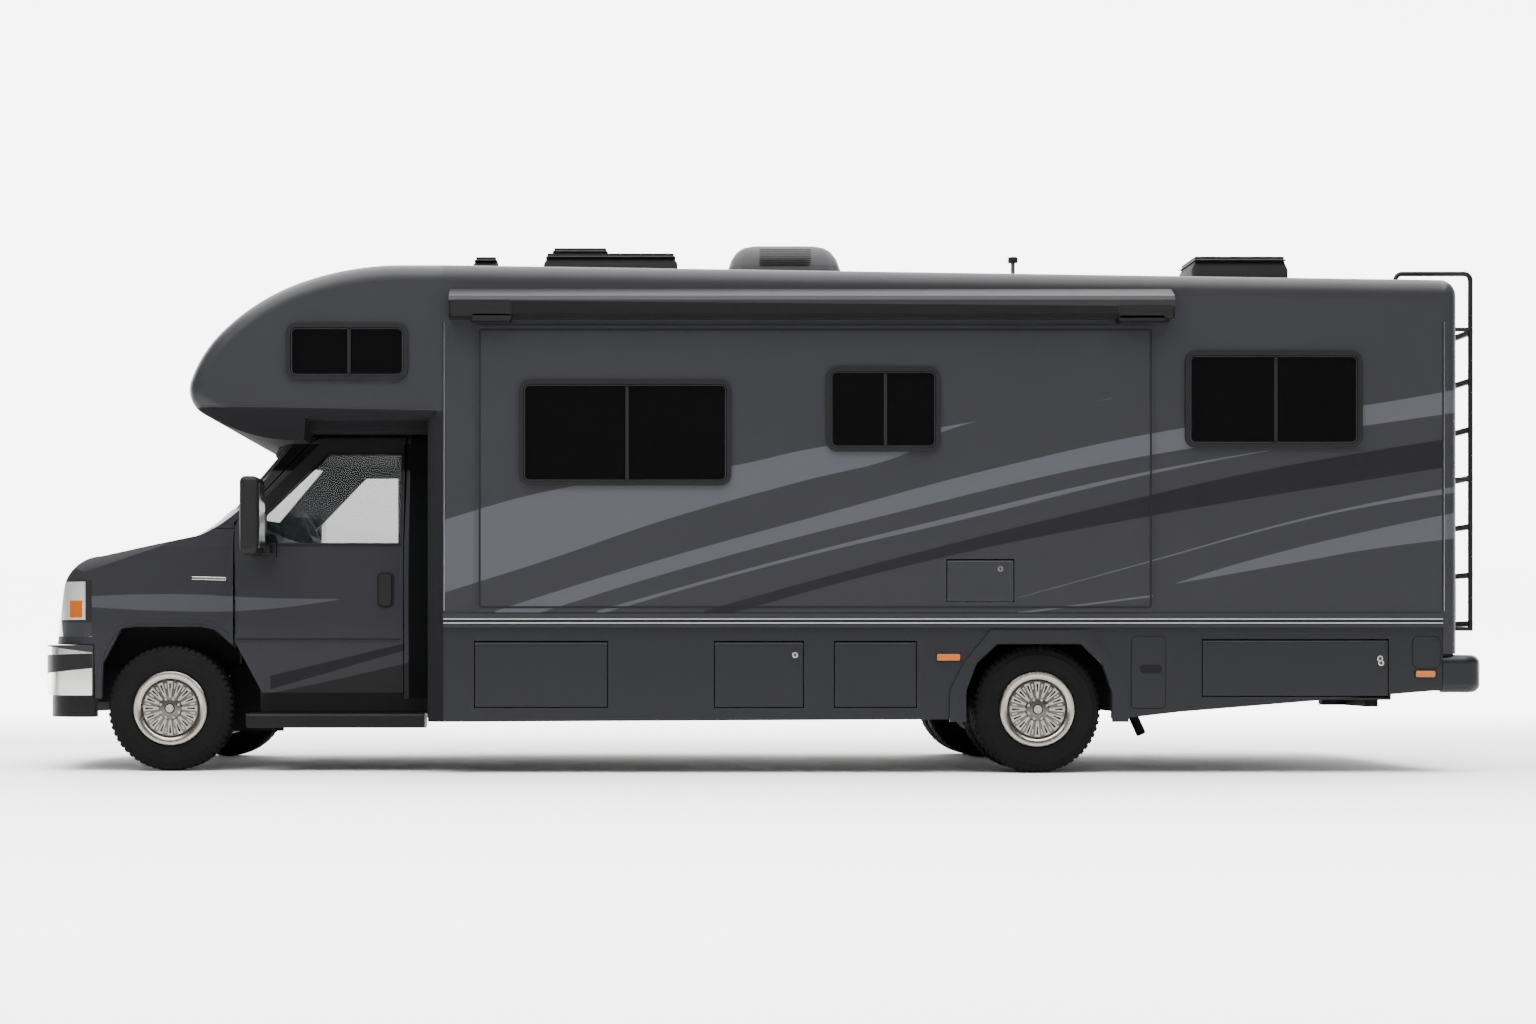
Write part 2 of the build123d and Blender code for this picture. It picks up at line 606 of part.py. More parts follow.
# Cab shell: roof, pillars, cowl, firewall and floor, with the hood's rod on brackets
firewall_x = front_axle_x + 325.0
cowl_half = hood_half + panel_gap - seat_gap
screen_half = 770.0
screen_low_z = 1572.0
screen_high_z = 1935.0
screen_region = block(nose_x, front_axle_x + 800, -screen_half, screen_half, screen_low_z, screen_high_z)
cab_passage = cab_inner & block(cab_back_x - 300, cab_back_x + 10, -940, 940, floor_bottom_z + cab_floor,
                                1950)
door_pin_x = door_front_x + 18.0
door_pin_y = 985.0
door_pin_radius = 7.0
door_pin_zs = ((870.0, 960.0), (1100.0, 1190.0))
pillar_depth = 46.0
fender_seat = cab_volume(fender_wall + seat_gap)
with BuildPart() as cab_shell:
    add(cab_skin & block(firewall_x, cab_back_x, -cab_wide, cab_wide, 430, cab_roof_z + 10))
    add(cab_skin & rod((nose_centre_x, 0, 1310), (nose_centre_x, 0, 1700), hood_edge_radius - cowl_gap)
        & block(nose_x, firewall_x + 5, -cab_wide, cab_wide, 1310, 1700))
    add(cab_passage, mode=Mode.SUBTRACT)
    add(door_clear, mode=Mode.SUBTRACT)
    add(other_side(door_clear), mode=Mode.SUBTRACT)
    for y0, y1 in ((-cab_wide, -cowl_half), (cowl_half, cab_wide)):
        add(block(nose_x, fender_rear_x + 4, y0, y1, 300, 1440), mode=Mode.SUBTRACT)
        add(block(nose_x, door_toe[0] + 60, y0, y1, 300, door_kink[1]), mode=Mode.SUBTRACT)
    add(screen_region, mode=Mode.SUBTRACT)
    add(block(nose_x, firewall_x, -cab_wide, cab_wide, 300, 1310), mode=Mode.SUBTRACT)
    add(block(firewall_x, firewall_x + 40, -hood_half - 250, hood_half + 250, floor_bottom_z,
              1500) & fender_seat)
    add(block(firewall_x, cab_back_x, -900, 900, floor_bottom_z, floor_bottom_z + cab_floor))
    for side in (-1, 1):
        post = block(firewall_x, firewall_x + pillar_depth, -990, -840, floor_bottom_z, 1560) & fender_seat
        add(post if side < 0 else other_side(post))
    for y in hood_arm_ys:
        add(rod((hood_rod_x, y - 40, hood_rod_z), (hood_rod_x, y + 40, hood_rod_z), hood_rod_radius))
        for end in (-1, 1):
            lug_y = y + end * 32
            add(block(hood_rod_x - 12, firewall_x + 5, lug_y - 8, lug_y + 8, hood_rod_z - 12,
                      hood_rod_z + 12))
    for side in (-1, 1):
        for low, high in door_pin_zs:
            pin = Part() + [rod((door_pin_x, -door_pin_y, low - 40), (door_pin_x, -door_pin_y, high + 40),
                                door_pin_radius)]
            for z0, z1 in ((low - 42, low - 12), (high + 12, high + 42)):
                pin += [block(door_pin_x - 8, door_pin_x + 8, -door_pin_y - 8, -940, z0, z1),
                        block(firewall_x + 10, door_pin_x + 8, -960, -940, z0, z1)]
            add(pin if side < 0 else other_side(pin))
save(cab_shell.part, "cab_shell")

# Cab doors: skin with a window opening, hung on the pillar's pins
door_pocket = [block(firewall_x, door_pin_x + 40, -cab_wide, -900, low - 55, high + 55) for low,
               high in door_pin_zs]
door_ears = [block(door_pin_x - 13, door_pin_x + 60, -door_pin_y - 13, -cab_half_width + cab_wall, low,
                   high)
             for low, high in door_pin_zs]
door_bores = [rod((door_pin_x, -door_pin_y, low - 5), (door_pin_x, -door_pin_y, high + 5),
                  door_pin_radius + pin_gap)
              for low, high in door_pin_zs]
door_nose_radius = 19.0
door_nose = block(door_front_x - 20, door_pin_x, -cab_wide, -800, 300, 2000) - rod(
    (door_pin_x, -door_pin_y, 200), (door_pin_x, -door_pin_y, 2100), door_nose_radius)
with BuildPart() as cab_door_left:
    add(cab_skin & door_region)
    add(window_region, mode=Mode.SUBTRACT)
    add(door_nose, mode=Mode.SUBTRACT)
    for pocket in door_pocket:
        add(pocket & cab_volume(6), mode=Mode.SUBTRACT)
    for ear in door_ears:
        add(ear & cab_volume(3))
    for bore in door_bores:
        add(bore, mode=Mode.SUBTRACT)
save(cab_door_left.part, "cab_door_left")
save(other_side(cab_door_left.part), "cab_door_right")

# Door glass and windshield follow the cab's form
with BuildPart() as door_glass_left:
    add(glass_skin & window_region)
save(door_glass_left.part, "door_glass_left")
save(other_side(door_glass_left.part), "door_glass_right")
with BuildPart() as windshield:
    add(glass_skin & screen_region)
save(windshield.part, "windshield")

# Mirrors: tall heads on an arm from each door
mirror_x = (front_axle_x + 473.0, front_axle_x + 585.0)
mirror_y = (-1350.0, -1105.0)
mirror_z = (1268.0, 1722.0)
mirror_arm_z = (1290.0, 1325.0)
mirror_edge = 34.0
with BuildPart() as mirror_left:
    add(block(*mirror_x, *mirror_y, *mirror_z))
    fillet(mirror_left.part.edges(), mirror_edge)
    add(block(mirror_x[0] + 40, mirror_x[1] + 30, mirror_y[1] - 40, -900, *mirror_arm_z))
    add(block(mirror_x[0] + 20, mirror_x[1] + 50, -1030, -900, mirror_arm_z[0] - 25, mirror_arm_z[1] + 25))
    add(cab_volume(-seat_gap), mode=Mode.SUBTRACT)
save(mirror_left.part, "mirror_left")
save(other_side(mirror_left.part), "mirror_right")

# Front lamps wrap the corners of the nose, and the grille fills the middle between them
lamp_wall = 28.0
lamp_rear_x = corner_back_x - 20.0
lamp_z = (800.0, 1136.0)
lamp_inner_y = 655.0
grille_half = 590.0
grille_z = (775.0, 1108.0)
grille_wall = 40.0
grille_bar = 34.0
grille_rows = 3
lamp_region = block(nose_x, lamp_rear_x, -cab_wide, -lamp_inner_y, *lamp_z)
lamp_clear = block(nose_x, lamp_rear_x + 0.5, -cab_wide, -lamp_inner_y + 0.5, lamp_z[0] - 0.5,
                   lamp_z[1] + 0.5)
with BuildPart() as headlamps:
    lamp = (cab_outer - cab_volume(lamp_wall)) & lamp_region
    add(lamp)
    add(other_side(lamp))
save(headlamps.part, "headlamps")
grille_pitch = (grille_z[1] - grille_z[0] - grille_bar) / grille_rows
with BuildPart() as grille:
    add((cab_outer - cab_volume(grille_wall)) & block(nose_x, front_axle_x - 500, -grille_half, grille_half,
                                                      *grille_z))
    for row in range(grille_rows):
        low = grille_z[0] + grille_bar + row * grille_pitch
        add(block(nose_x, front_axle_x - 500, -grille_half + 60, grille_half - 60, low,
                  low + grille_pitch - grille_bar),
            mode=Mode.SUBTRACT)
save(grille.part, "grille")

# Fenders: the sides and front of the nose around the lamps, the grille and the wheel arches
bumper_top_z = 748.0
bumper_low_z = 450.0
with BuildPart() as fenders:
    add(fender_skin & block(nose_x, fender_rear_x, -cab_wide, cab_wide, 430, 1436))
    add(block(nose_x, firewall_x + 60, -hood_half - panel_gap, hood_half + panel_gap, grille_z[1] + 0.5,
              1600),
        mode=Mode.SUBTRACT)
    add(block(nose_x, arch_front_x - 30, -cab_wide, cab_wide, 300, bumper_top_z + 4), mode=Mode.SUBTRACT)
    add(block(nose_x, front_axle_x - 500, -grille_half - 0.5, grille_half + 0.5, grille_z[0] - 0.5,
              grille_z[1] + 0.5),
        mode=Mode.SUBTRACT)
    for region in (lamp_clear, arch_region):
        add(region, mode=Mode.SUBTRACT)
        add(other_side(region), mode=Mode.SUBTRACT)
save(fenders.part, "fenders")


# Front bumper: a bar bowed in plan with ends wrapped round the corners, over a plain valance
bumper_depth = 90.0
bumper_end_x = front_axle_x - 450.0
bumper_corner = (front_axle_x - 770.0, 830.0)
valance_low_z = 320.0


def bowed_bar(setback, z0, z1):
    """Bar that follows the bumper's plan, set back from its face."""
    half = cab_half_width - setback
    with BuildPart() as body:
        with BuildSketch(Plane.XY.offset(z0)):
            for face, mode in ((0, Mode.ADD), (bumper_depth, Mode.SUBTRACT)):
                with BuildLine():
                    end = (bumper_end_x, half - face)
                    bend = (bumper_corner[0] + setback + face, bumper_corner[1] - setback - face * 0.75)
                    ThreePointArc(bend, (nose_x + setback + face, 0), (bend[0], -bend[1]))
                    middle = ((end[0] + bend[0]) / 2 - 66, (end[1] + bend[1]) / 2 + 44)
                    ThreePointArc(end, middle, bend)
                    ThreePointArc((end[0], -end[1]), (middle[0], -middle[1]), (bend[0], -bend[1]))
                    Line(end, (end[0], -end[1]))
                make_face(mode=mode)
        extrude(amount=z1 - z0)
    return body.part


with BuildPart() as front_bumper:
    add(bowed_bar(0, bumper_low_z, bumper_top_z))
    for side in (-1, 1):
        add(block(nose_x + bumper_depth - 20, frame_front_x - seat_gap, side * rail_mid_y - rail_width / 2,
                  side * rail_mid_y + rail_width / 2, rail_bottom_z + 10, rail_bottom_z + 110))
save(front_bumper.part, "front_bumper")
with BuildPart() as front_valance:
    add(bowed_bar(25, valance_low_z, bumper_low_z))
save(front_valance.part, "front_valance")

# Cab interior: dashboard with steering wheel, and two seats
cab_floor_z = floor_bottom_z + cab_floor
dash_outline = [(firewall_x + 40 + seat_gap, 1180), (front_axle_x + 560, 1180), (front_axle_x + 640, 1300),
                (front_axle_x + 600, 1410), (firewall_x + 40 + seat_gap, 1440)]
column_foot = (front_axle_x + 560, -430, 1300)
column_head = (front_axle_x + 760, -430, 1390)
column_way = (0.912, 0, 0.41)
with BuildPart() as dashboard:
    add(side_prism(dash_outline, -835, 835) & cab_volume(cab_wall + seat_gap))
    add(rod(column_foot, column_head, 24))
    with BuildSketch(Plane(origin=column_head, x_dir=(0, 1, 0), z_dir=column_way)):
        Circle(195)
        Circle(168, mode=Mode.SUBTRACT)
        Rectangle(350, 36)
    extrude(amount=26)
save(dashboard.part, "dashboard")

seat_y = 450.0
with BuildPart() as seats:
    for side in (-1, 1):
        y = side * seat_y
        add(block(front_axle_x + 990, front_axle_x + 1330, y - 180, y + 180, cab_floor_z, 1060))
        add(block(front_axle_x + 910, front_axle_x + 1420, y - 250, y + 250, 1060, 1190))
        add(side_prism([(front_axle_x + 1310, 1190), (front_axle_x + 1420, 1190),
                        (front_axle_x + 1510, 1760),
                        (front_axle_x + 1420, 1760)], y - 240, y + 240))
save(seats.part, "seats")

# Running boards under the cab doors, and the entry step on the right
board_x = (front_axle_x + 462.0, front_axle_x + 1515.0)
board_y = (-1055.0, -885.0)
board_z = (258.0, 345.0)
board_bracket_xs = (front_axle_x + 700, front_axle_x + 1350)
entry_x = (250.0, 910.0)
entry_z = (900.0, 2640.0)
step_z = (330.0, 372.0)
with BuildPart() as board:
    add(block(*board_x, *board_y, *board_z))
    fillet(board.part.edges().filter_by(Axis.X), 24)
    for x in board_bracket_xs:
        add(block(x - 25, x + 25, board_y[1] - 28, board_y[1] - 3, board_z[1] - 30, rail_bottom_z + 60))
        add(block(x - 25, x + 25, board_y[1] - 28, -rail_outer_y, rail_bottom_z + 20, rail_bottom_z + 60))
with BuildPart() as steps:
    add(board.part)
    add(other_side(board.part))
    add(block(entry_x[0] + 40, entry_x[1] - 40, 960, house_half - 20, *step_z))
    for x in (entry_x[0] + 40, entry_x[1] - 60):
        add(block(x, x + 20, 960, 1060, step_z[0], floor_bottom_z))
save(steps.part, "steps")

# House roof: a rounded channel that falls towards the tail
wall_top_drop = roof_edge_radius + 25.0


def house_section(x, bottom_z, inset):
    """Cross-section of the house at x, with rounded roof edges, inset on the sides and top."""
    top = roof_z(x) - (inset * roof_thickness / wall)
    half = house_half - inset
    radius = roof_edge_radius - inset
    with BuildSketch(Plane.YZ.offset(x), mode=Mode.PRIVATE) as sketch:
        with BuildLine():
            Polyline((-half, top - radius), (-half, bottom_z), (half, bottom_z), (half, top - radius))
            JernArc((half, top - radius), (0, 1), radius, 90)
            Line((half - radius, top), (-half + radius, top))
            JernArc((-half + radius, top), (-1, 0), radius, 90)
        make_face()
    return sketch.sketch


roof_way = Vector(rear_seam_x - cap_seam_x, 0, roof_rear_z - roof_front_z)
with BuildPart() as roof:
    extrude(house_section(cap_seam_x, roof_front_z - wall_top_drop, 0), amount=roof_way.length,
            dir=roof_way)
    extrude(house_section(cap_seam_x, roof_front_z - wall_top_drop, wall), amount=roof_way.length,
            dir=roof_way,
            mode=Mode.SUBTRACT)
save(roof.part, "roof")
roof_surface = side_prism([(cap_seam_x, 2000), (rear_seam_x, 2000), (rear_seam_x, roof_rear_z + seat_gap),
                           (cap_seam_x, roof_front_z + seat_gap)], -house_half, house_half)

# Window sizes as x from, x to, z from, z to
window_table = {
    "slide_front": (-1314.0, -84.0, 1669.0, 2283.0),
    "slide_rear": (467.0, 1128.0, 1866.0, 2359.0),
    "bedroom": (2549.0, 3576.0, 1889.0, 2452.0),
    "bunk": (-2665.0, -1957.0, 2283.0, 2614.0),
    "dinette": (-1300.0, -80.0, 1669.0, 2283.0),
    "galley": (1250.0, 1910.0, 1866.0, 2359.0),
}
window_overlap = 14.0
slide_face_y = -house_half - moulding_depth


def window_hole(name, face_y):
    """Opening for a left-hand window through a wall whose outer face is at face_y."""
    x0, x1, z0, z1 = window_table[name]
    return side_plate(x0 + window_overlap, x1 - window_overlap, z0 + window_overlap, z1 - window_overlap,
                      window_corner - window_overlap, face_y - 5, face_y + 120)


def window(name, face_y):
    """Left-hand window: a flanged frame over the wall with its pane set back inside."""
    x0, x1, z0, z1 = window_table[name]
    plug = window_overlap + seat_gap
    with BuildPart() as body:
        add(side_plate(x0, x1, z0, z1, window_corner, face_y - window_lip, face_y))
        add(side_plate(x0 + plug, x1 - plug, z0 + plug, z1 - plug, window_corner - plug, face_y,
                       face_y + 24))
        add(side_plate(x0 + window_flange, x1 - window_flange, z0 + window_flange, z1 - window_flange,
                       window_corner - window_flange, face_y - window_lip - 1, face_y + 6),
                       mode=Mode.SUBTRACT)
    return body.part


# Left wall with the slide-out's opening, and the right wall with the entry
slide_x = (-1547.0, 2354.0)
slide_z = (960.0, 2578.0)
wall_outline = [(cap_seam_x, wall_bottom_z), (rear_seam_x, wall_bottom_z),
                (rear_seam_x, roof_rear_z - wall_top_drop),
                (cap_seam_x, roof_front_z - wall_top_drop)]
with BuildPart() as left_wall:
    add(side_prism(wall_outline, -house_half, -house_half + wall))
    add(block(cap_seam_x, rear_seam_x, -house_half - moulding_depth, -house_half, wall_bottom_z,
              rail_moulding_top_z))
    add(block(*slide_x, -house_half - 60, -house_half + 2 * wall, *slide_z), mode=Mode.SUBTRACT)
    add(window_hole("bedroom", -house_half), mode=Mode.SUBTRACT)
save(left_wall.part, "left_wall")

entry_pin_x = entry_x[0] + panel_gap + hinge_edge
entry_pin_y = house_half - hinge_edge
entry_pin_radius = 6.0
entry_thickness = 44.0
with BuildPart() as right_wall:
    add(side_prism(wall_outline, house_half - wall, house_half))
    add(block(cap_seam_x, rear_seam_x, house_half, house_half + moulding_depth, wall_bottom_z,
              rail_moulding_top_z))
    add(block(*entry_x, house_half - 2 * wall, house_half + 60, *entry_z), mode=Mode.SUBTRACT)
    add(block(entry_x[0] - 40, entry_x[1] + 20, house_half, house_half + 60, wall_bottom_z - 1, entry_z[1]),
        mode=Mode.SUBTRACT)
    for name in ("dinette", "galley", "bedroom"):
        add(other_side(window_hole(name, -house_half)), mode=Mode.SUBTRACT)
    add(rod((entry_pin_x, entry_pin_y, entry_z[0] - 10), (entry_pin_x, entry_pin_y, entry_z[1] + 10),
            entry_pin_radius))
save(right_wall.part, "right_wall")
with BuildPart() as entry_door:
    add(block(entry_pin_x, entry_x[1] - panel_gap, house_half - entry_thickness, house_half,
              entry_z[0] + panel_gap,
              entry_z[1] - panel_gap))
    add(rod((entry_pin_x, entry_pin_y, entry_z[0] + panel_gap),
            (entry_pin_x, entry_pin_y, entry_z[1] - panel_gap),
            hinge_edge))
    add(rod((entry_pin_x, entry_pin_y, entry_z[0]), (entry_pin_x, entry_pin_y, entry_z[1]),
            entry_pin_radius + pin_gap),
        mode=Mode.SUBTRACT)
save(entry_door.part, "entry_door")

# Floor with the slide-out's runners
runner_xs = (-1000.0, 400.0, 1800.0)
slide_gap = 8.0
slide_bottom_z = slide_z[0] + 5
with BuildPart() as floor:
    add(block(cap_seam_x + 1, rear_seam_x, -house_half + wall, house_half - wall, floor_bottom_z,
              floor_bottom_z + floor_thickness))
    for x in runner_xs:
        add(block(x - 40, x + 40, -house_half + wall, -400, floor_bottom_z + floor_thickness,
                  slide_bottom_z - seat_gap))
save(floor.part, "floor")


# Hinged lids: a plate on a top-edge rod
lid_thickness = 28.0


def lid(x0, x1, z0, z1, face_y):
    """Left-hand lid with a rounded, bored top edge."""
    pin_z = z1 - hinge_edge
    pin_y = face_y + hinge_edge
    with BuildPart() as body:
        add(block(x0, x1, face_y, face_y + lid_thickness, z0, pin_z))
        add(rod((x0, pin_y, pin_z), (x1, pin_y, pin_z), hinge_edge))
        add(rod((x0 - 1, pin_y, pin_z), (x1 + 1, pin_y, pin_z), hinge_pin_radius + pin_gap),
            mode=Mode.SUBTRACT)
    return body.part


def lid_hole(x0, x1, z0, z1, face_y):
    """Opening for a lid, with a gap all round."""
    return block(x0 - panel_gap, x1 + panel_gap, face_y - 30, face_y + 70, z0 - panel_gap, z1 + panel_gap)


def lid_rod(x0, x1, z1, face_y):
    """Hinge rod across a lid's opening, let into the panel at both ends."""
    return rod((x0 - 24, face_y + hinge_edge, z1 - hinge_edge),
               (x1 + 24, face_y + hinge_edge, z1 - hinge_edge),
               hinge_pin_radius)


# Skirts with their baggage doors: x from, x to, z from, z to
skirt_face_y = -house_half + 5
baggage_left = ((-1569.0, -803.0, 387.0, 764.0), (-177.0, 334.0, 387.0, 764.0),
                (519.0, 989.0, 387.0, 764.0),
                (2654.0, 3727.0, 451.0, 775.0))
baggage_right = ((-1500.0, -700.0, 387.0, 764.0), (2654.0, 3727.0, 451.0, 775.0))
arch_x = (rear_axle_x - 426.0, rear_axle_x + 421.0)
rear_arch_top_z = 752.0
flare_width = 95.0
flare_depth = 14.0
skirt_step_x = rear_axle_x + 815.0
box_depth = 430.0
box_wall = 12.0
skirt_outline = [(cap_seam_x, skirt_bottom_z), (arch_x[1] + 60, skirt_bottom_z + 20), (skirt_step_x, 358.0),
                 (rear_seam_x, skirt_tail_z), (rear_seam_x, wall_bottom_z), (cap_seam_x, wall_bottom_z)]


def arch_points(grow):
    """Rear wheel arch outline, grown outwards by the flare's width."""
    top = rear_arch_top_z + grow * 0.85
    return [(arch_x[0] - grow, 200.0), (arch_x[0] - grow, 480.0), (arch_x[0] + 60 - grow * 0.8, 640.0),
            (arch_x[0] + 180 - grow * 0.4, top), (arch_x[1] - 180 + grow * 0.4, top),
            (arch_x[1] - 60 + grow * 0.8, 640.0), (arch_x[1] + grow, 480.0), (arch_x[1] + grow, 200.0)]


def skirt(lids):
    """Left-hand skirt with its wheel arch, lid openings, hinge rods and the boxes behind the lids."""
    inner_y = skirt_face_y + skirt_thickness
    with BuildPart() as body:
        add(side_prism(skirt_outline, skirt_face_y, inner_y))
        add(side_prism(arch_points(flare_width), skirt_face_y - flare_depth, skirt_face_y)
            & block(cap_seam_x, rear_seam_x, skirt_face_y - 100, skirt_face_y + 100, skirt_bottom_z,
                    wall_bottom_z - 10))
        add(side_prism(arch_points(0), skirt_face_y - 100, skirt_face_y + 100), mode=Mode.SUBTRACT)
        for x0, x1, z0, z1 in lids:
            add(block(x0 - 30, x1 + 30, inner_y, inner_y + box_depth, z0 - 24, z1 + 24))
            add(block(x0 - 30 + box_wall, x1 + 30 - box_wall, inner_y, inner_y + box_depth - box_wall,
                      z0 - 24 + box_wall, z1 + 24 - box_wall), mode=Mode.SUBTRACT)
            add(lid_hole(x0, x1, z0, z1, skirt_face_y), mode=Mode.SUBTRACT)
            add(lid_rod(x0, x1, z1, skirt_face_y))
    return body.part


left_skirt = skirt(baggage_left)
save(left_skirt, "left_skirt")
with BuildPart() as right_skirt:
    add(other_side(skirt(baggage_right)))
    add(block(entry_x[0] - 10, entry_x[1] + 10, house_half - 250, house_half + 100, 200, 600),
        mode=Mode.SUBTRACT)
save(right_skirt.part, "right_skirt")
for row, sizes in enumerate(baggage_left):
    save(lid(*sizes, skirt_face_y), f"baggage_door_left_{row + 1}")
for row, sizes in enumerate(baggage_right):
    save(other_side(lid(*sizes, skirt_face_y)), f"baggage_door_right_{row + 1}")

# Slide-out: a five-sided room whose fascia overlaps the wall, with a hinged service hatch
slide_wall = 40.0
slide_depth = 800.0
slide_lap = 20.0
hatch = (1169.0, 1552.0, 1000.0, 1239.0)
room_x = (slide_x[0] + slide_gap, slide_x[1] - slide_gap)
room_z = (slide_bottom_z, slide_z[1] - slide_gap)
room_front_y = -house_half + 35
room_back_y = room_front_y + slide_depth
with BuildPart() as slide_out:
    add(block(*room_x, -house_half, room_back_y, *room_z))
    add(block(room_x[0] + slide_wall, room_x[1] - slide_wall, room_front_y, room_back_y + 1,
              room_z[0] + slide_wall,
              room_z[1] - slide_wall), mode=Mode.SUBTRACT)
    add(block(slide_x[0] - slide_lap / 2, slide_x[1] + slide_lap / 2, slide_face_y, -house_half - seat_gap,
              rail_moulding_top_z + panel_gap, slide_z[1] + slide_lap))
    add(block(*room_x, -house_half - 1, -house_half, *room_z))
    for name in ("slide_front", "slide_rear"):
        add(window_hole(name, slide_face_y), mode=Mode.SUBTRACT)
    add(lid_hole(*hatch, slide_face_y), mode=Mode.SUBTRACT)
    add(lid_rod(hatch[0], hatch[1], hatch[3], slide_face_y))
save(slide_out.part, "slide_out")
save(lid(*hatch, slide_face_y), "service_hatch")
with BuildPart() as slide_windows:
    for name in ("slide_front", "slide_rear"):
        add(window(name, slide_face_y))
save(slide_windows.part, "slide_windows")

# Awning case above the slide-out, with its end brackets
awning_x = (-1714.0, 2468.0)
awning_brackets = ((-1590.0, -1366.0), (2155.0, 2434.0))
awning_shape = ((0.0, 2812.0), (85.0, 2758.0), (95.0, 2734.0), (95.0, 2655.0), (75.0, 2632.0),
                (0.0, 2632.0))
awning_section = [(-house_half - out, z) for out, z in awning_shape]
with BuildPart() as awning:
    with BuildSketch(Plane.YZ.offset(awning_x[0])):
        with BuildLine():
            Polyline(*awning_section, close=True)
        make_face()
    extrude(amount=awning_x[1] - awning_x[0])
    for x0, x1 in awning_brackets:
        add(block(x0, x1, -house_half - 88, -house_half - 40, 2606, 2680))
save(awning.part, "awning")

# Front cap: the cab-over nose as one shell, with the corner posts beside the cab
cap_radius = 105.0
post_x = cap_seam_x - 96.0
post_radius = 90.0
post_lap = 30.0
post_gap_y = 930.0
bunk_floor_z = 2069.0
cap_lip = (front_axle_x + 811.0, 1953.0)
chin_front = (cap_seam_x - 1600.0, 2131.0)
chin_rear = (cap_seam_x - 40.0, 2104.0)
chin_lean = (150.0, 165.0)


def chin_waste(inset):
    """Room beside the leaning sides of the chin, below the crease of the cap, moved inwards by the inset."""
    top_z = chin_front[1] + inset * hypot(*chin_lean) / chin_lean[0]
    way = Vector(chin_rear[0] - chin_front[0], 0, chin_rear[1] - chin_front[1])
    outer_y = house_half + 10
    low_y = house_half - 1.6 * chin_lean[0]
    low_z = top_z - 1.6 * chin_lean[1]
    with BuildPart() as body:
        with BuildSketch(Plane.YZ.offset(chin_front[0])):
            with BuildLine():
                Polyline((outer_y, top_z), (house_half, top_z), (low_y, low_z), (outer_y, low_z),
                         close=True)
            make_face()
        extrude(amount=way.length, dir=way)
    return body.part


with BuildPart() as cap_outer:
    with BuildSketch(Plane.XZ.offset(-house_half)) as cap_face:
        with BuildLine():
            Line((cap_seam_x, roof_front_z), (cap_seam_x - 250, roof_front_z))
            brow = TangentArc((cap_seam_x - 250, roof_front_z), (cap_seam_x - 830, 2869), tangent=(-1, 0))
            slope = TangentArc(brow @ 1, (cap_seam_x - 1306, 2570), tangent=brow % 1)
            nose = TangentArc(slope @ 1, (cap_seam_x - 1481, 2290), tangent=slope % 1)
            chin = TangentArc(nose @ 1, (cap_seam_x - 1410, 2098), tangent=nose % 1)
            throat = TangentArc(chin @ 1, (cap_seam_x - 1050, 1964), tangent=chin % 1)
            lip = TangentArc(throat @ 1, cap_lip, tangent=throat % 1)
            Polyline(cap_lip, (cap_lip[0] + 24, bunk_floor_z), (cap_seam_x, bunk_floor_z),
                     (cap_seam_x, roof_front_z))
        make_face()
    extrude(amount=house_width)
    side_edges = cap_outer.part.faces().filter_by(Axis.Y).edges()
    fillet([e for e in side_edges if e.center().Z > 2110 or e.center().X < cap_lip[0] - 30
            if e.center().X < cap_seam_x - 5], cap_radius)
    add(chin_waste(0), mode=Mode.SUBTRACT)
    add(other_side(chin_waste(0)), mode=Mode.SUBTRACT)
with BuildPart() as cap_inner:
    extrude(offset(cap_face.sketch, amount=-wall, kind=Kind.INTERSECTION, mode=Mode.PRIVATE).moved(
        Location((0, -wall, 0))), amount=house_width - 2 * wall)
    add(block(cap_seam_x - wall - 2, cap_seam_x + 1, -house_half + wall, house_half - wall,
              bunk_floor_z + wall,
              roof_front_z - cap_radius))
    add(chin_waste(wall), mode=Mode.SUBTRACT)
    add(other_side(chin_waste(wall)), mode=Mode.SUBTRACT)
with BuildPart() as posts:
    for side in (-1, 1):
        with BuildSketch(Plane.XY.offset(skirt_bottom_z)):
            with BuildLine():
                Polyline((cap_seam_x, side * house_half), (post_x + post_radius, side * house_half))
                ThreePointArc((post_x + post_radius, side * house_half),
                              (post_x + 0.293 * post_radius, side * (house_half - 0.293 * post_radius)),
                              (post_x, side * (house_half - post_radius)))
                Polyline((post_x, side * (house_half - post_radius)), (post_x, 0), (post_x + wall, 0),
                         (post_x + wall, side * (house_half - wall)),
                         (cap_seam_x, side * (house_half - wall)),
                         (cap_seam_x, side * house_half))
            make_face()
        extrude(amount=bunk_floor_z + 20 - skirt_bottom_z)
    extrude(cab_section(post_lap), amount=2 * wall, mode=Mode.SUBTRACT)
    add(block(post_x - 5, cap_seam_x, -post_gap_y, post_gap_y, 200, floor_bottom_z + floor_thickness),
        mode=Mode.SUBTRACT)
with BuildPart() as front_cap:
    add(cap_outer.part)
    add(cap_inner.part, mode=Mode.SUBTRACT)
    add(block(cap_lip[0] + 20, cap_seam_x, -house_half + 200, house_half - 200, cab_roof_z + seat_gap,
              bunk_floor_z))
    add(posts.part)
    add(cab_volume(-5) & block(nose_x, front_axle_x + 1000, -cab_wide, cab_wide, 1500,
                               cab_roof_z + seat_gap),
        mode=Mode.SUBTRACT)
    for tool in (window_hole("bunk", -house_half), other_side(window_hole("bunk", -house_half))):
        add(tool, mode=Mode.SUBTRACT)
save(front_cap.part, "front_cap")

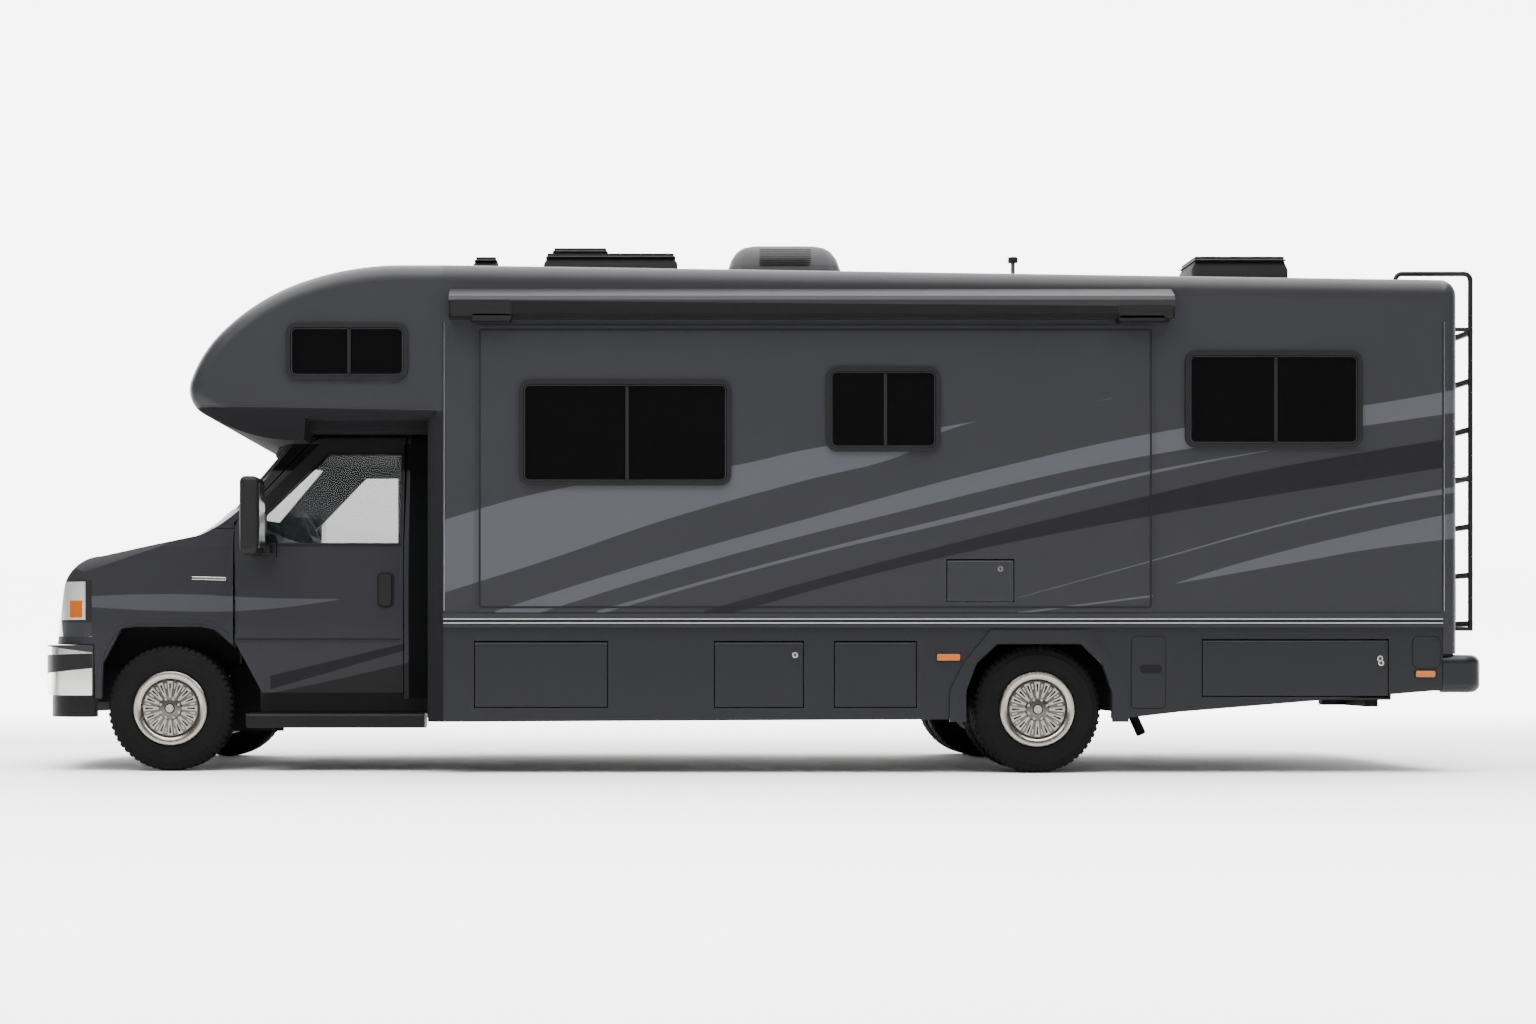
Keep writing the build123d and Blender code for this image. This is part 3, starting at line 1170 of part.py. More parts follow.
# Rear cap: end wall with rounded edges
rear_wall_x = tail_x - 147.0
rear_cap_bottom_z = 695.0
rear_cap_radius = 90.0
with BuildPart() as rear_cap:
    extrude(house_section(rear_seam_x, rear_cap_bottom_z, 0), amount=rear_wall_x - rear_seam_x)
    rear_face = rear_cap.part.faces().sort_by(Axis.X)[-1]
    fillet([e for e in rear_face.edges() if e.center().Z > rear_cap_bottom_z + 10], rear_cap_radius)
    extrude(house_section(rear_seam_x, rear_cap_bottom_z, wall), amount=rear_wall_x - wall - rear_seam_x,
            mode=Mode.SUBTRACT)
save(rear_cap.part, "rear_cap")

# Windows of the fixed walls and the cap
with BuildPart() as house_windows:
    for name in ("bunk", "bedroom"):
        add(window(name, -house_half))
    for name in ("bunk", "bedroom", "dinette", "galley"):
        add(other_side(window(name, -house_half)))
save(house_windows.part, "house_windows")

# Rear bumper, wrapped round the tail and bolted to the frame
rear_bumper_z = (470.0, 690.0)
with BuildPart() as rear_bumper:
    add(block(rear_seam_x, tail_x, -house_half, house_half, *rear_bumper_z))
    fillet(rear_bumper.part.edges().filter_by(Axis.Z).group_by(Axis.X)[-1], 110)
    fillet(rear_bumper.part.faces().sort_by(Axis.X)[-1].edges().filter_by(Axis.Y), 50)
    add(block(rear_seam_x - 1, tail_x - 60, -house_half + 50, house_half - 50, rear_bumper_z[0] - 1,
              rear_bumper_z[1] - 30), mode=Mode.SUBTRACT)
    for side in (-1, 1):
        add(block(frame_rear_x + seat_gap, tail_x - 50, side * rail_mid_y - 26, side * rail_mid_y + 26, 620,
                  rear_bumper_z[1] - 20))
save(rear_bumper.part, "rear_bumper")

# Tail lamps on the end wall
with BuildPart() as tail_lamps:
    for side in (-1, 1):
        add(block(rear_wall_x, rear_wall_x + 22, side * 1085 - 55, side * 1085 + 55, 890, 1130))
    fillet(tail_lamps.part.faces().sort_by(Axis.X)[-2:].edges(), 12)
save(tail_lamps.part, "tail_lamps")

# Ladder up the left of the end wall and over the roof edge
ladder_ys = (-1100.0, -740.0)
ladder_x = tail_x - 30.0
ladder_radius = 14.0
ladder_foot_x = rear_seam_x - 220.0
ladder_top_z = roof_rear_z + 45
ladder_low_z = 830.0
rung_low_z = 872.0
rung_pitch = 285.0
rung_count = 7
standoff_zs = (ladder_low_z + 12, 1720.0, 2600.0)
with BuildPart() as ladder:
    for y in ladder_ys:
        with BuildLine() as rail_run:
            FilletPolyline((ladder_foot_x, y, roof_z(ladder_foot_x) - 20), (ladder_foot_x, y, ladder_top_z),
                           (ladder_x, y, ladder_top_z), (ladder_x, y, ladder_low_z), radius=38)
        with BuildSketch(Plane(origin=rail_run.line @ 0, z_dir=rail_run.line % 0)):
            Circle(ladder_radius)
        sweep()
        for z in standoff_zs:
            add(rod((rear_wall_x, y, z), (ladder_x, y, z), ladder_radius - 2))
    for row in range(rung_count):
        z = rung_low_z + row * rung_pitch
        add(rod((ladder_x, ladder_ys[0], z), (ladder_x, ladder_ys[1], z), ladder_radius - 2))
    add(roof_surface, mode=Mode.SUBTRACT)
save(ladder.part, "ladder")

# Roof: air conditioner and vents, seated on the sloping roof
with BuildPart() as air_conditioner:
    with BuildSketch(Plane.XZ.offset(-350)):
        with BuildLine():
            Polyline((-70, 2900), (-70, 3040), (30, 3240), (100, 3272), (560, 3262), (640, 3200),
                     (672, 3040),
                     (672, 2900), close=True)
        make_face()
    extrude(amount=700)
    add(roof_surface, mode=Mode.SUBTRACT)
    fillet(air_conditioner.part.faces().filter_by(Axis.Y).edges().filter_by(lambda e: e.center().Z > 3000),
           60)
save(air_conditioner.part, "air_conditioner")
vent_table = (
    # x0, x1, y0, y1, top z
    (-1628.0, -1463.0, -680.0, -520.0, 3110.0),
    (-1190.0, -381.0, -780.0, -420.0, 3113.0),
    (-1157.0, -785.0, -760.0, -440.0, 3150.0),
    (1640.0, 1704.0, -630.0, -570.0, 3118.0),
    (2722.0, 3303.0, -780.0, -420.0, 3094.0),
)
with BuildPart() as roof_vents:
    for x0, x1, y0, y1, top in vent_table:
        add(block(x0, x1, y0, y1, 2860, top))
    fillet(roof_vents.part.edges().filter_by(Axis.Z), 18)
    add(roof_surface, mode=Mode.SUBTRACT)
save(roof_vents.part, "roof_vents")
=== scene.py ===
# %% [markdown]
# # A motorhome with an over-cab bunk, dressed
# The solids of the coach arrive as a fixed frame: every panel, wheel and door is already in its place, in
# metres, with the nose towards -X and the left side towards -Y. They could be dressed with painted
# images, but an image ties a look to one size. This lesson uses sums of nodes instead, and adds the small
# pieces that a coach builder screws on last as plain meshes.

# %% The frame
import math

import bmesh
import bpy
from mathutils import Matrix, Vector
from mathutils.bvhtree import BVHTree


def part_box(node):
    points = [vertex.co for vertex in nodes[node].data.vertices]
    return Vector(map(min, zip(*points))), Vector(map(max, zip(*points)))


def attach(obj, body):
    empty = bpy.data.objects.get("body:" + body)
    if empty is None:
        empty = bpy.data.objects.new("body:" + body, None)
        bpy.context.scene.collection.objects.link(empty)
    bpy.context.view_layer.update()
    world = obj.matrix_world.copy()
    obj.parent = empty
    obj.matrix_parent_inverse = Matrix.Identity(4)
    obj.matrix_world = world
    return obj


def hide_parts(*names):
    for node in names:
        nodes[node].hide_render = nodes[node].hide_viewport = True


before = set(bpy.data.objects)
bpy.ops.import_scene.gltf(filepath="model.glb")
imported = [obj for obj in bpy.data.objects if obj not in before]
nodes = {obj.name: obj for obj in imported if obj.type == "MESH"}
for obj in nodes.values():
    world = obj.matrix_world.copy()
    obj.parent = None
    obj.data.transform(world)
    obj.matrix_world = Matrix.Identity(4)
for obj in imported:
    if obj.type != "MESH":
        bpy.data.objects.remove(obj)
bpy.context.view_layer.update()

# %% [markdown]
# ## Sums of sockets
# Paint, dust and grain all come down to sums of numbers over a surface. Math nodes could be joined one by
# one, but a long sum is hard to read that way. A `Wire` holds one output socket and takes Python's own
# operators, so `1 - mask` or `a * 2 + b` adds its Math nodes by itself.

# %% Wires
class Wire:
    """One output socket that can be used in sums."""

    def __init__(self, finish, socket):
        self.finish = finish
        self.socket = socket

    def math(self, operation, *values):
        return self.finish.node("Math", {"operation": operation}, dict(enumerate(values)))

    def __add__(self, other):
        return self.math("ADD", self, other)

    def __sub__(self, other):
        return self.math("SUBTRACT", self, other)

    def __rsub__(self, other):
        return self.math("SUBTRACT", other, self)

    def __mul__(self, other):
        return self.math("MULTIPLY", self, other)

    def __truediv__(self, other):
        return self.math("DIVIDE", self, other)

    def __rtruediv__(self, other):
        return self.math("DIVIDE", other, self)

    def __abs__(self):
        return self.math("ABSOLUTE", self)

    __radd__ = __add__
    __rmul__ = __mul__

    def sine(self):
        return self.math("SINE", self)

    def fraction(self):
        return self.math("FRACT", self)

    def either(self, other):
        return self.math("MAXIMUM", self, other)

    def clip(self):
        return self.finish.node("Math", {"operation": "ADD", "use_clamp": True}, {0: self, 1: 0.0})

    def over(self, edge, blur=0.002):
        """1 where the value is above an edge, with a soft step of the given width."""
        return ((self - edge) / blur + 0.5).clip()

    def between(self, low, high):
        """1 between two edges."""
        return self.over(low) * (1 - self.over(high))


print("steps of a wire:", [name for name in vars(Wire) if not name.startswith("_")])

# %% [markdown]
# ## One material, one finish
# A real finish is one coat with its own colour, gloss and grain; here it is a material that ends in a
# Principled shader. Each kind of node could have its own helper. One `node` method for all of them is
# shorter: it sets the node up first and then joins its sockets, so a finish reads like a recipe.

# %% Finishes
class Finish:
    """A material whose graph ends in its Principled shader."""

    def __init__(self, name, **sockets):
        self.material = bpy.data.materials.new(name)
        self.material.use_nodes = True
        self.tree = self.material.node_tree
        self.shader = self.tree.nodes["Principled BSDF"]
        self.set(**sockets)

    def node(self, kind, settings=None, inputs=None, out=0):
        """Any node: its settings first, then its sockets; a curve is a list of points."""
        made = self.tree.nodes.new("ShaderNode" + kind)
        for key, value in (settings or {}).items():
            if key == "curve":
                line = made.mapping.curves[0]
                line.points[0].location = value[0]
                line.points[1].location = value[-1]
                for spot in value[1:-1]:
                    line.points.new(*spot)
                made.mapping.update()
            else:
                setattr(made, key, value)
        for key, value in (inputs or {}).items():
            self.join(made.inputs[key], value)
        return Wire(self, made.outputs[out])

    def join(self, socket, value):
        if isinstance(value, Wire):
            self.tree.links.new(value.socket, socket)
        elif isinstance(value, tuple) and len(value) == 3 and socket.type == "RGBA":
            socket.default_value = (*value, 1.0)
        else:
            socket.default_value = value

    def set(self, **sockets):
        for key, value in sockets.items():
            self.join(self.shader.inputs[key.replace("_", " ")], value)
        return self

    def mix(self, share, one, other):
        return self.node("Mix", {"data_type": "RGBA"}, {0: share, 6: one, 7: other}, out=2)

    def place(self):
        """Rest position of the surface in metres, as three wires."""
        spot = self.node("TexCoord", out="Object")
        return [self.node("SeparateXYZ", inputs={0: spot}, out=axis) for axis in "XYZ"]

    def noise(self, scale, detail=3.0, rough=0.5):
        spot = self.node("TexCoord", out="Object")
        inputs = {"Vector": spot, "Scale": scale, "Detail": detail, "Roughness": rough}
        return self.node("TexNoise", inputs=inputs)

    def bump(self, height, strength=0.2, distance=0.002):
        inputs = {"Height": height, "Strength": strength, "Distance": distance}
        self.set(Normal=self.node("Bump", inputs=inputs))
        return self


def toned(tone, factor, lift=0.0):
    """A lighter or darker version of a tone."""
    return tuple(min(1.0, part * factor + lift) for part in tone)


print("steps of a finish:", [name for name in vars(Finish) if not name.startswith("_")])

# %% [markdown]
# ## Bands along the side
# The coach wears a dark metallic grey with swept bands in a lighter grey and in black, which a painter
# masks off with tape. They could be drawn in an image or cut into the panels. Here each band is the space
# between two lines of (length, height) points, because a line stays sharp at any distance and one drawing
# serves both sides.

# %% Lines of the bands
coach_span = (-4.3, 4.3)
coach_height = 3.3
rail_top = 0.932
charcoal = (0.0130, 0.0131, 0.0152)
pale_grey = (0.0410, 0.0428, 0.0490)
wing_grey = (0.0330, 0.0341, 0.0385)
jet = (0.0025, 0.0025, 0.0030)
side_bands = (
    # tone, upper edge, lower edge, as (length, height) in metres
    (pale_grey,
     ((-1.88, 1.425), (-1.75, 1.471), (-1.02, 1.663), (-0.07, 1.785), (0.32, 1.872), (1.13, 2.008),
      (2.12, 2.176)),
     ((-1.88, 1.010), (-1.57, 1.106), (-1.15, 1.239), (-0.47, 1.471), (0.29, 1.686), (0.93, 1.855),
      (1.13, 1.978), (2.12, 2.172))),
    (pale_grey,
     ((-1.45, 0.944), (-0.50, 1.239), (0.33, 1.471), (1.55, 1.796), (2.54, 2.005), (3.58, 2.135),
      (4.16, 2.235)),
     ((-1.16, 0.944), (-0.19, 1.239), (0.70, 1.471), (2.35, 1.848), (3.58, 2.017), (4.16, 2.101))),
    (pale_grey,
     ((-0.86, 0.944), (0.20, 1.239), (1.12, 1.471), (2.35, 1.756), (3.04, 1.877)),
     ((-0.78, 0.944), (0.27, 1.239), (1.25, 1.471), (2.35, 1.738), (3.04, 1.874))),
    (jet,
     ((-0.24, 0.944), (0.83, 1.239), (2.35, 1.616), (2.92, 1.744), (3.60, 1.866), (4.041, 1.937)),
     ((-0.03, 0.944), (1.08, 1.239), (2.35, 1.495), (3.60, 1.703), (4.041, 1.774))),
    (pale_grey,
     ((1.57, 1.019), (2.36, 1.239), (3.19, 1.471), (3.60, 1.564), (4.16, 1.674)),
     ((1.57, 1.016), (2.36, 1.232), (3.19, 1.458), (3.60, 1.547), (4.16, 1.636))),
    (pale_grey,
     ((2.50, 1.106), (2.93, 1.239), (3.56, 1.396), (4.16, 1.522)),
     ((2.50, 1.103), (3.27, 1.239), (3.56, 1.292), (4.16, 1.369))),
    (pale_grey,
     ((1.58, 0.938), (2.36, 1.036)),
     ((1.58, 0.926), (2.36, 1.025))),
)
cab_bands = (
    # tone, upper edge, lower edge, as (length, height) in metres
    (wing_grey,
     ((-3.90, 1.035), (-3.28, 1.048), (-2.93, 1.030), (-2.39, 1.019)),
     ((-3.90, 0.975), (-3.40, 0.949), (-2.93, 0.952), (-2.39, 1.016))),
    (jet,
     ((-2.80, 0.565), (-2.00, 0.758)),
     ((-2.80, 0.485), (-2.00, 0.717))),
    (jet,
     ((-2.80, 0.462), (-2.41, 0.543), (-1.85, 0.675)),
     ((-2.80, 0.20), (-1.85, 0.20))),
)
print("bands on the house:", len(side_bands), "on the cab:", len(cab_bands))

# %% [markdown]
# A painter fills what lies between two lines of tape. A wave texture could give straight stripes, but
# these bend and taper. So each line becomes a Float Curve node, which gives its height at every length
# along the coach, and a spot is inside the band when its own height lies between the two curves.

# %% Paint between the lines
def edge_height(finish, along, edge):
    """Height of a drawn line at each length along the coach."""
    start = coach_span[0]
    length = coach_span[1] - start
    points = [((x - start) / length, z / coach_height) for x, z in edge]
    share = finish.node("FloatCurve", {"curve": points}, {"Value": (along - start) / length})
    return share * coach_height


def painted_bands(finish, colour, bands, floor_height):
    """Lays each band over a base colour and returns the mixed colour."""
    x, _, z = finish.place()
    for tone, upper, lower in bands:
        inside = z.between(edge_height(finish, x, lower), edge_height(finish, x, upper))
        reach = x.between(upper[0][0], upper[-1][0]) * z.over(floor_height)
        colour = finish.mix(inside * reach, colour, tone)
    return colour


def below_line(height, fall):
    """Mask of what lies below a line that falls towards the tail."""
    return lambda x, y, z: 1 - (z + x * fall).over(height)


print("longest line:", max(len(edge) for band in side_bands + cab_bands for edge in band[1:]), "points")

# %% [markdown]
# ## Coach paint
# Metallic paint is a coloured base with fine flakes under a clear coat, and it gathers a little road
# dust. The flakes could be tiny meshes; a fine noise that lightens the colour does the same from a step
# away. A panel is one solid with a painted outside and a lined inside, so a mask of its inner faces turns
# the paint into a dull lining there. The same kind of mask paints shade: near black below the chin of
# the nose and on the inner faces of the cab.

# %% Paints of the house and the cab
clear_coat = 0.05
flake_tone = (0.09, 0.09, 0.10)
lining_and_shade_roughness = 0.95
wall_lining_y = 1.226
door_shade_y = 0.905
cab_front_x = -3.02
cab_rear_x = -1.980
cab_roof_z = 1.95


def coach_paint(name, bands, floor_height, base=charcoal, lining_and_shade=None, gloss=0.16):
    """Metallic paint with its bands; the last mask and its tone line the inner faces, and paint near-black
    shade under the nose and in the cab.
    """
    finish = Finish(name, Specular_IOR_Level=gloss, Coat_Weight=clear_coat, Coat_Roughness=0.08)
    flake = finish.noise(scale=900.0, detail=2.0)
    road_dust = finish.noise(scale=1.7, detail=4.0)
    colour = painted_bands(finish, base, bands, floor_height)
    colour = finish.mix(flake * 0.05, colour, flake_tone)
    rough = 0.34 + 0.10 * road_dust
    # a lining tone turns the masked faces dull; where it is near black it is painted shade
    if lining_and_shade:
        mask, tone = lining_and_shade
        lining_and_shade_mask = mask(*finish.place())
        colour = finish.mix(lining_and_shade_mask, colour, tone)
        rough = rough + lining_and_shade_mask * (lining_and_shade_roughness - rough)
        finish.set(Coat_Weight=clear_coat * (1 - lining_and_shade_mask))
    finish.set(Base_Color=colour, Roughness=rough)
    return finish.bump(road_dust, strength=0.04, distance=0.003).material


def in_house(x, y, z):
    """Mask of the inner faces of the walls."""
    return 1 - abs(y).over(wall_lining_y)


def shade_in_cab(x, y, z):
    """Mask of the inner faces of the cab and its doors, and of all behind the cab: painted near-black shade.
    """
    between_doors = x.over(cab_front_x) * (1 - abs(y).over(door_shade_y)) * (1 - z.over(cab_roof_z))
    return between_doors.either(x.over(cab_rear_x))


# painted shade: the front cap turns near black below its chin line, where shade falls under the cab-over
shade_under_cap = below_line(2.0751, 0.0164)
house_paint = coach_paint("house_paint", side_bands, rail_top)
nose_paint = coach_paint("nose_paint", side_bands, rail_top, lining_and_shade=(shade_under_cap, (0.0050, 0.0050, 0.0058)))
lined_paint = coach_paint("house_paint_lined", side_bands, rail_top, lining_and_shade=(in_house, (0.52, 0.49, 0.44)))
skirt_paint = coach_paint("skirt_paint", (), 0.0, base=(0.0062, 0.0064, 0.0082))
# painted shade: the inner faces of the cab and the faces behind it are near black
cab_paint = coach_paint("cab_paint", cab_bands, 0.0, base=(0.0142, 0.0142, 0.0163),
                        lining_and_shade=(shade_in_cab, (0.0020, 0.0022, 0.0024)), gloss=0.05)
print("paints:", [paint.name for paint in (house_paint, nose_paint, lined_paint, skirt_paint, cab_paint)])

# %% [markdown]
# ## Metals
# The grille and the mirrors are chromed, the wheel covers are pressed bright steel, and the beads and
# locks are duller. A flat metal looks like plastic, and scratches could be drawn one by one. A cloudy
# noise that darkens and dulls the metal in patches is enough for handled metal, so all four share one
# function.

# %% Bright metals
def bright_metal(name, tone, rough, marks):
    """Polished metal with faint cloudy marks of a given scale."""
    finish = Finish(name, Metallic=1.0)
    cloud = finish.noise(scale=marks, detail=4.0)
    finish.set(Base_Color=finish.mix(cloud * 0.5, tone, toned(tone, 0.72)), Roughness=rough + 0.12 * cloud)
    return finish.bump(cloud, strength=0.03, distance=0.001).material


chrome = bright_metal("chrome", (0.78, 0.77, 0.75), 0.06, 9.0)
wheel_metal = bright_metal("wheel_metal", (0.31, 0.288, 0.257), 0.22, 24.0)
trim_metal = bright_metal("trim_metal", (0.40, 0.41, 0.43), 0.25, 30.0)
dull_metal = bright_metal("dull_metal", (0.11, 0.102, 0.092), 0.30, 40.0)
print("metals:", [metal.name for metal in (chrome, wheel_metal, trim_metal, dull_metal)])

# %% [markdown]
# ## Plastics and rubber
# Mirrors, vents and bumper ends are moulded plastic with a pebbled grain that fades in the sun, and tyres
# are black rubber with dust in it. The grain could be modelled, but it is finer than a pixel. A fine
# noise in the bump and a broad one in the colour keep both grain and fading.

# %% Moulded plastic and tyre rubber
def moulded(name, tone, rough=0.5, grain=420.0):
    """Moulded plastic with a pebbled grain and uneven fading."""
    finish = Finish(name, Specular_IOR_Level=0.14)
    pebble = finish.noise(scale=grain, detail=2.0)
    fade = finish.noise(scale=2.3, detail=3.0)
    faded = finish.mix(fade * 0.5, tone, toned(tone, 1.5, 0.001))
    finish.set(Base_Color=faded, Roughness=rough + 0.15 * pebble)
    return finish.bump(pebble, strength=0.15, distance=0.0008).material


def tyre_rubber(name, clean, dusty):
    """Black rubber with dust worked into it."""
    finish = Finish(name, Specular_IOR_Level=0.08)
    dust = finish.noise(scale=7.0, detail=5.0, rough=0.6)
    grit = finish.noise(scale=260.0, detail=2.0)
    finish.set(Base_Color=finish.mix(dust * 0.6, clean, dusty), Roughness=0.62 + 0.2 * grit)
    return finish.bump(grit, strength=0.25, distance=0.001).material


chassis_black = moulded("chassis_black", (0.0030, 0.0030, 0.0034), 0.60, 90.0)
black_plastic = moulded("black_plastic", (0.0045, 0.0045, 0.0050), 0.42)
bumper_plastic = moulded("bumper_plastic", (0.0034, 0.0034, 0.0040), 0.42)
pane_bar = moulded("pane_bar", (0.005, 0.005, 0.0055), 0.45)
bead_grey = moulded("bead_grey", (0.016, 0.016, 0.018), 0.35)
rubber = tyre_rubber("rubber", (0.0026, 0.0026, 0.0027), (0.0080, 0.0078, 0.0074))
plastics = (chassis_black, black_plastic, bumper_plastic, pane_bar, bead_grey)
print("plastics:", [plastic.name for plastic in plastics], "and", rubber.name)

# %% [markdown]
# ## Glass and lenses
# The house windows are privacy glass, nearly black, and the cab's are lightly tinted. True refraction needs
# many bounces of light and hardly shows in a flat pane, so a pane here is a dark gloss whose Alpha lets
# part of the view through. A lamp's lens is ribbed inside; a sine across the coach lightens it in stripes
# and tilts its surface a little.

# %% Panes and lamp lenses
rib_pitch = 420.0


def tinted_pane(name, tone, alpha, rough=0.03):
    """Window glass: a tint that lets part of the view through."""
    finish = Finish(name, Alpha=alpha, Specular_IOR_Level=0.22, Coat_Weight=0.05, Coat_Roughness=0.02)
    smear = finish.noise(scale=3.1, detail=4.0)
    finish.set(Base_Color=finish.mix(smear * 0.4, tone, toned(tone, 1.7)), Roughness=rough + 0.05 * smear)
    return finish.material


def lens(name, tone, rough=0.12):
    """Ribbed coloured lens."""
    finish = Finish(name, Coat_Weight=0.2, Coat_Roughness=0.04)
    rib = (finish.place()[1] * rib_pitch).sine() * 0.5 + 0.5
    finish.set(Base_Color=finish.mix(rib * 0.35, tone, toned(tone, 1.5, 0.03)), Roughness=rough)
    return finish.bump(rib, strength=0.2, distance=0.002).material


window_glass = tinted_pane("window_glass", (0.0012, 0.0012, 0.0014), 1.0)
cab_glass = tinted_pane("cab_glass", (0.012, 0.0145, 0.015), 0.40)
amber_lens = lens("amber_lens", (0.30, 0.075, 0.003))
red_lens = lens("red_lens", (0.42, 0.012, 0.012))
print("panes and lenses:", [pane.name for pane in (window_glass, cab_glass, amber_lens, red_lens)])

# %% [markdown]
# ## Cloth and floor
# Through the glass and the open doors one sees cloth seats and a floor of vinyl boards. Threads and
# boards could be modelled, but nobody comes near enough. Two crossing sines make the weave, and the
# fraction of the length along the coach makes the joints of the boards.

# %% Seat cloth and floor boards
thread_pitch = 900.0
board_width = 0.12
joint_tone = (0.05, 0.035, 0.025)
dark_board = (0.20, 0.13, 0.08)
light_board = (0.36, 0.26, 0.17)


def woven(name, tone):
    """Seat cloth with a plain weave."""
    finish = Finish(name, Sheen_Weight=0.3)
    x, y, z = finish.place()
    warp = (x * thread_pitch + z * thread_pitch).sine()
    weft = (y * thread_pitch).sine()
    weave = warp * weft * 0.5 + 0.5
    finish.set(Base_Color=finish.mix(weave, tone, toned(tone, 0.55)), Roughness=0.9)
    return finish.bump(weave, strength=0.3, distance=0.001).material


def planked(name):
    """Vinyl floor boards across the coach."""
    finish = Finish(name)
    x, y, _ = finish.place()
    drawn_out = finish.node("CombineXYZ", inputs={0: x * 3.0, 1: y * 60.0})
    grain = finish.node("TexNoise", inputs={"Vector": drawn_out, "Scale": 1.0, "Detail": 5.0})
    board = (x / board_width).fraction().over(0.03, 0.02)
    colour = finish.mix(grain, dark_board, light_board)
    finish.set(Base_Color=finish.mix(board, joint_tone, colour), Roughness=0.45)
    return finish.bump(board, strength=0.2, distance=0.001).material


seat_cloth = woven("seat_cloth", (0.09, 0.09, 0.10))
floor_boards = planked("floor_boards")
print("inside:", seat_cloth.name, floor_boards.name)

# %% [markdown]
# ## Pieces with several looks
# The front bumper is painted, chromed and black in bands, the roof's edge is painted and its middle is a
# membrane, and the awning is dark below its case: its dark roller with painted shadow under the case.
# Each could be split into pieces with one material each.
# One material with masks of height and width is simpler, because the edges of the looks need no edges in
# the mesh.

# %% Zones on one piece
paint_look = (charcoal, 0.0, 0.38)
eave_look = ((0.0102, 0.0102, 0.0118), 0.0, 0.45)
black_look = ((0.0030, 0.0030, 0.0034), 0.0, 0.40)
bright_look = ((0.76, 0.75, 0.72), 1.0, 0.08)
membrane_look = ((0.18, 0.18, 0.185), 0.0, 0.60)
# the awning's foot: a dark roller and painted shadow under its case
roller_and_shadow_look = ((0.0016, 0.0016, 0.0018), 0.0, 0.90)
cooler_look = ((0.0100, 0.0102, 0.0116), 0.0, 0.42)
bumper_rear_x = -3.853
eave_y = 1.08
cooler_groove = (3.113, 3.122)


def changed(value, other, inside):
    """A value that turns into another inside a mask; it stays a plain number where both are the same."""
    return value if value == other else value + inside * (other - value)


def zoned(name, ground, *zones):
    """Several looks on one piece: a look is colour, metal and roughness, a zone is a mask and its look."""
    finish = Finish(name, Specular_IOR_Level=0.2)
    wear = finish.noise(scale=11.0, detail=4.0)
    colour, metal, rough = ground
    for mask, look in zones:
        inside = mask(*finish.place())
        colour = finish.mix(inside, colour, look[0])
        metal = changed(metal, look[1], inside)
        rough = changed(rough, look[2], inside)
    finish.set(Base_Color=colour, Metallic=metal, Roughness=rough + 0.06 * wear)
    return finish.bump(wear, strength=0.03, distance=0.001).material


# below the line the case is near black, partly its roller and partly painted shadow
awning_cover = zoned("awning_cover", eave_look, (below_line(2.716, 0.0085), roller_and_shadow_look))
bumper_bands = zoned("bumper_bands", paint_look,
                     (below_line(0.217, 0.126), bright_look),
                     (below_line(0.810, -0.029), black_look),
                     (below_line(0.995, -0.100), bright_look),
                     (lambda x, y, z: x.over(bumper_rear_x), paint_look))
roof_coat = zoned("roof_coat", membrane_look, (lambda x, y, z: abs(y).over(eave_y), eave_look))
cooler_case = zoned("cooler_case", cooler_look, (lambda x, y, z: z.between(*cooler_groove), black_look))
print("zoned:", [coat.name for coat in (awning_cover, bumper_bands, roof_coat, cooler_case)])

# %% [markdown]
# ## Headlamps
# A headlamp is a clear cover over a silvered bowl, with an amber corner and a dark surround. Glass over
# modelled bowls would need a hollow solid. The lamp here is one solid, so its bowl, groove, amber corner
# and slanting foot are zones: a disc about the middle of the bowl, and boxes and lines for the rest.

# %% Headlamp zones
lamp_look = ((0.62, 0.62, 0.60), 0.80, 0.18)
amber_look = ((0.27, 0.062, 0.003), 0.0, 0.14)
bowl_y = 0.800
bowl_z = 0.985
bowl_radius = 0.094
groove_radius = 0.102
grille_end_y = 0.664
amber_xs = (-3.998, -3.911)
amber_zs = (0.909, 1.012)
lamp_rear_x = -3.893
lamp_top_z = 1.122
foot_z = 0.895
foot_slant = 0.15


def disc(radius):
    """Mask of a disc about the middle of each bowl."""
    def mask(x, y, z):
        across = abs(y) - bowl_y
        rise = z - bowl_z
        return 1 - (across * across + rise * rise).over(radius ** 2, 0.0003)
    return mask


def foot(front_x, top_z):
    """Mask of the slanting foot of a lamp."""
    return lambda x, y, z: x.over(front_x + (foot_z - z) * foot_slant) * (1 - z.over(top_z))


lamp_cluster = zoned("lamp_cluster", lamp_look,
                     (lambda x, y, z: 1 - abs(y).over(grille_end_y), black_look),
                     (disc(groove_radius), black_look),
                     (disc(bowl_radius), bright_look),
                     (lambda x, y, z: x.between(*amber_xs) * z.between(*amber_zs), amber_look),
                     (lambda x, y, z: x.over(lamp_rear_x).either(z.over(lamp_top_z)), black_look),
                     (foot(-4.062, 0.897), black_look),
                     (foot(-4.050, 0.882), paint_look))
print("headlamp nodes:", len(lamp_cluster.node_tree.nodes))

# %% [markdown]
# ## Dressing the solids
# On the real coach each panel comes from its own shop, painted, plated or moulded. The finishes could be
# given piece by piece as they are made. One table of finishes and solids shows at a glance that none is
# left bare.

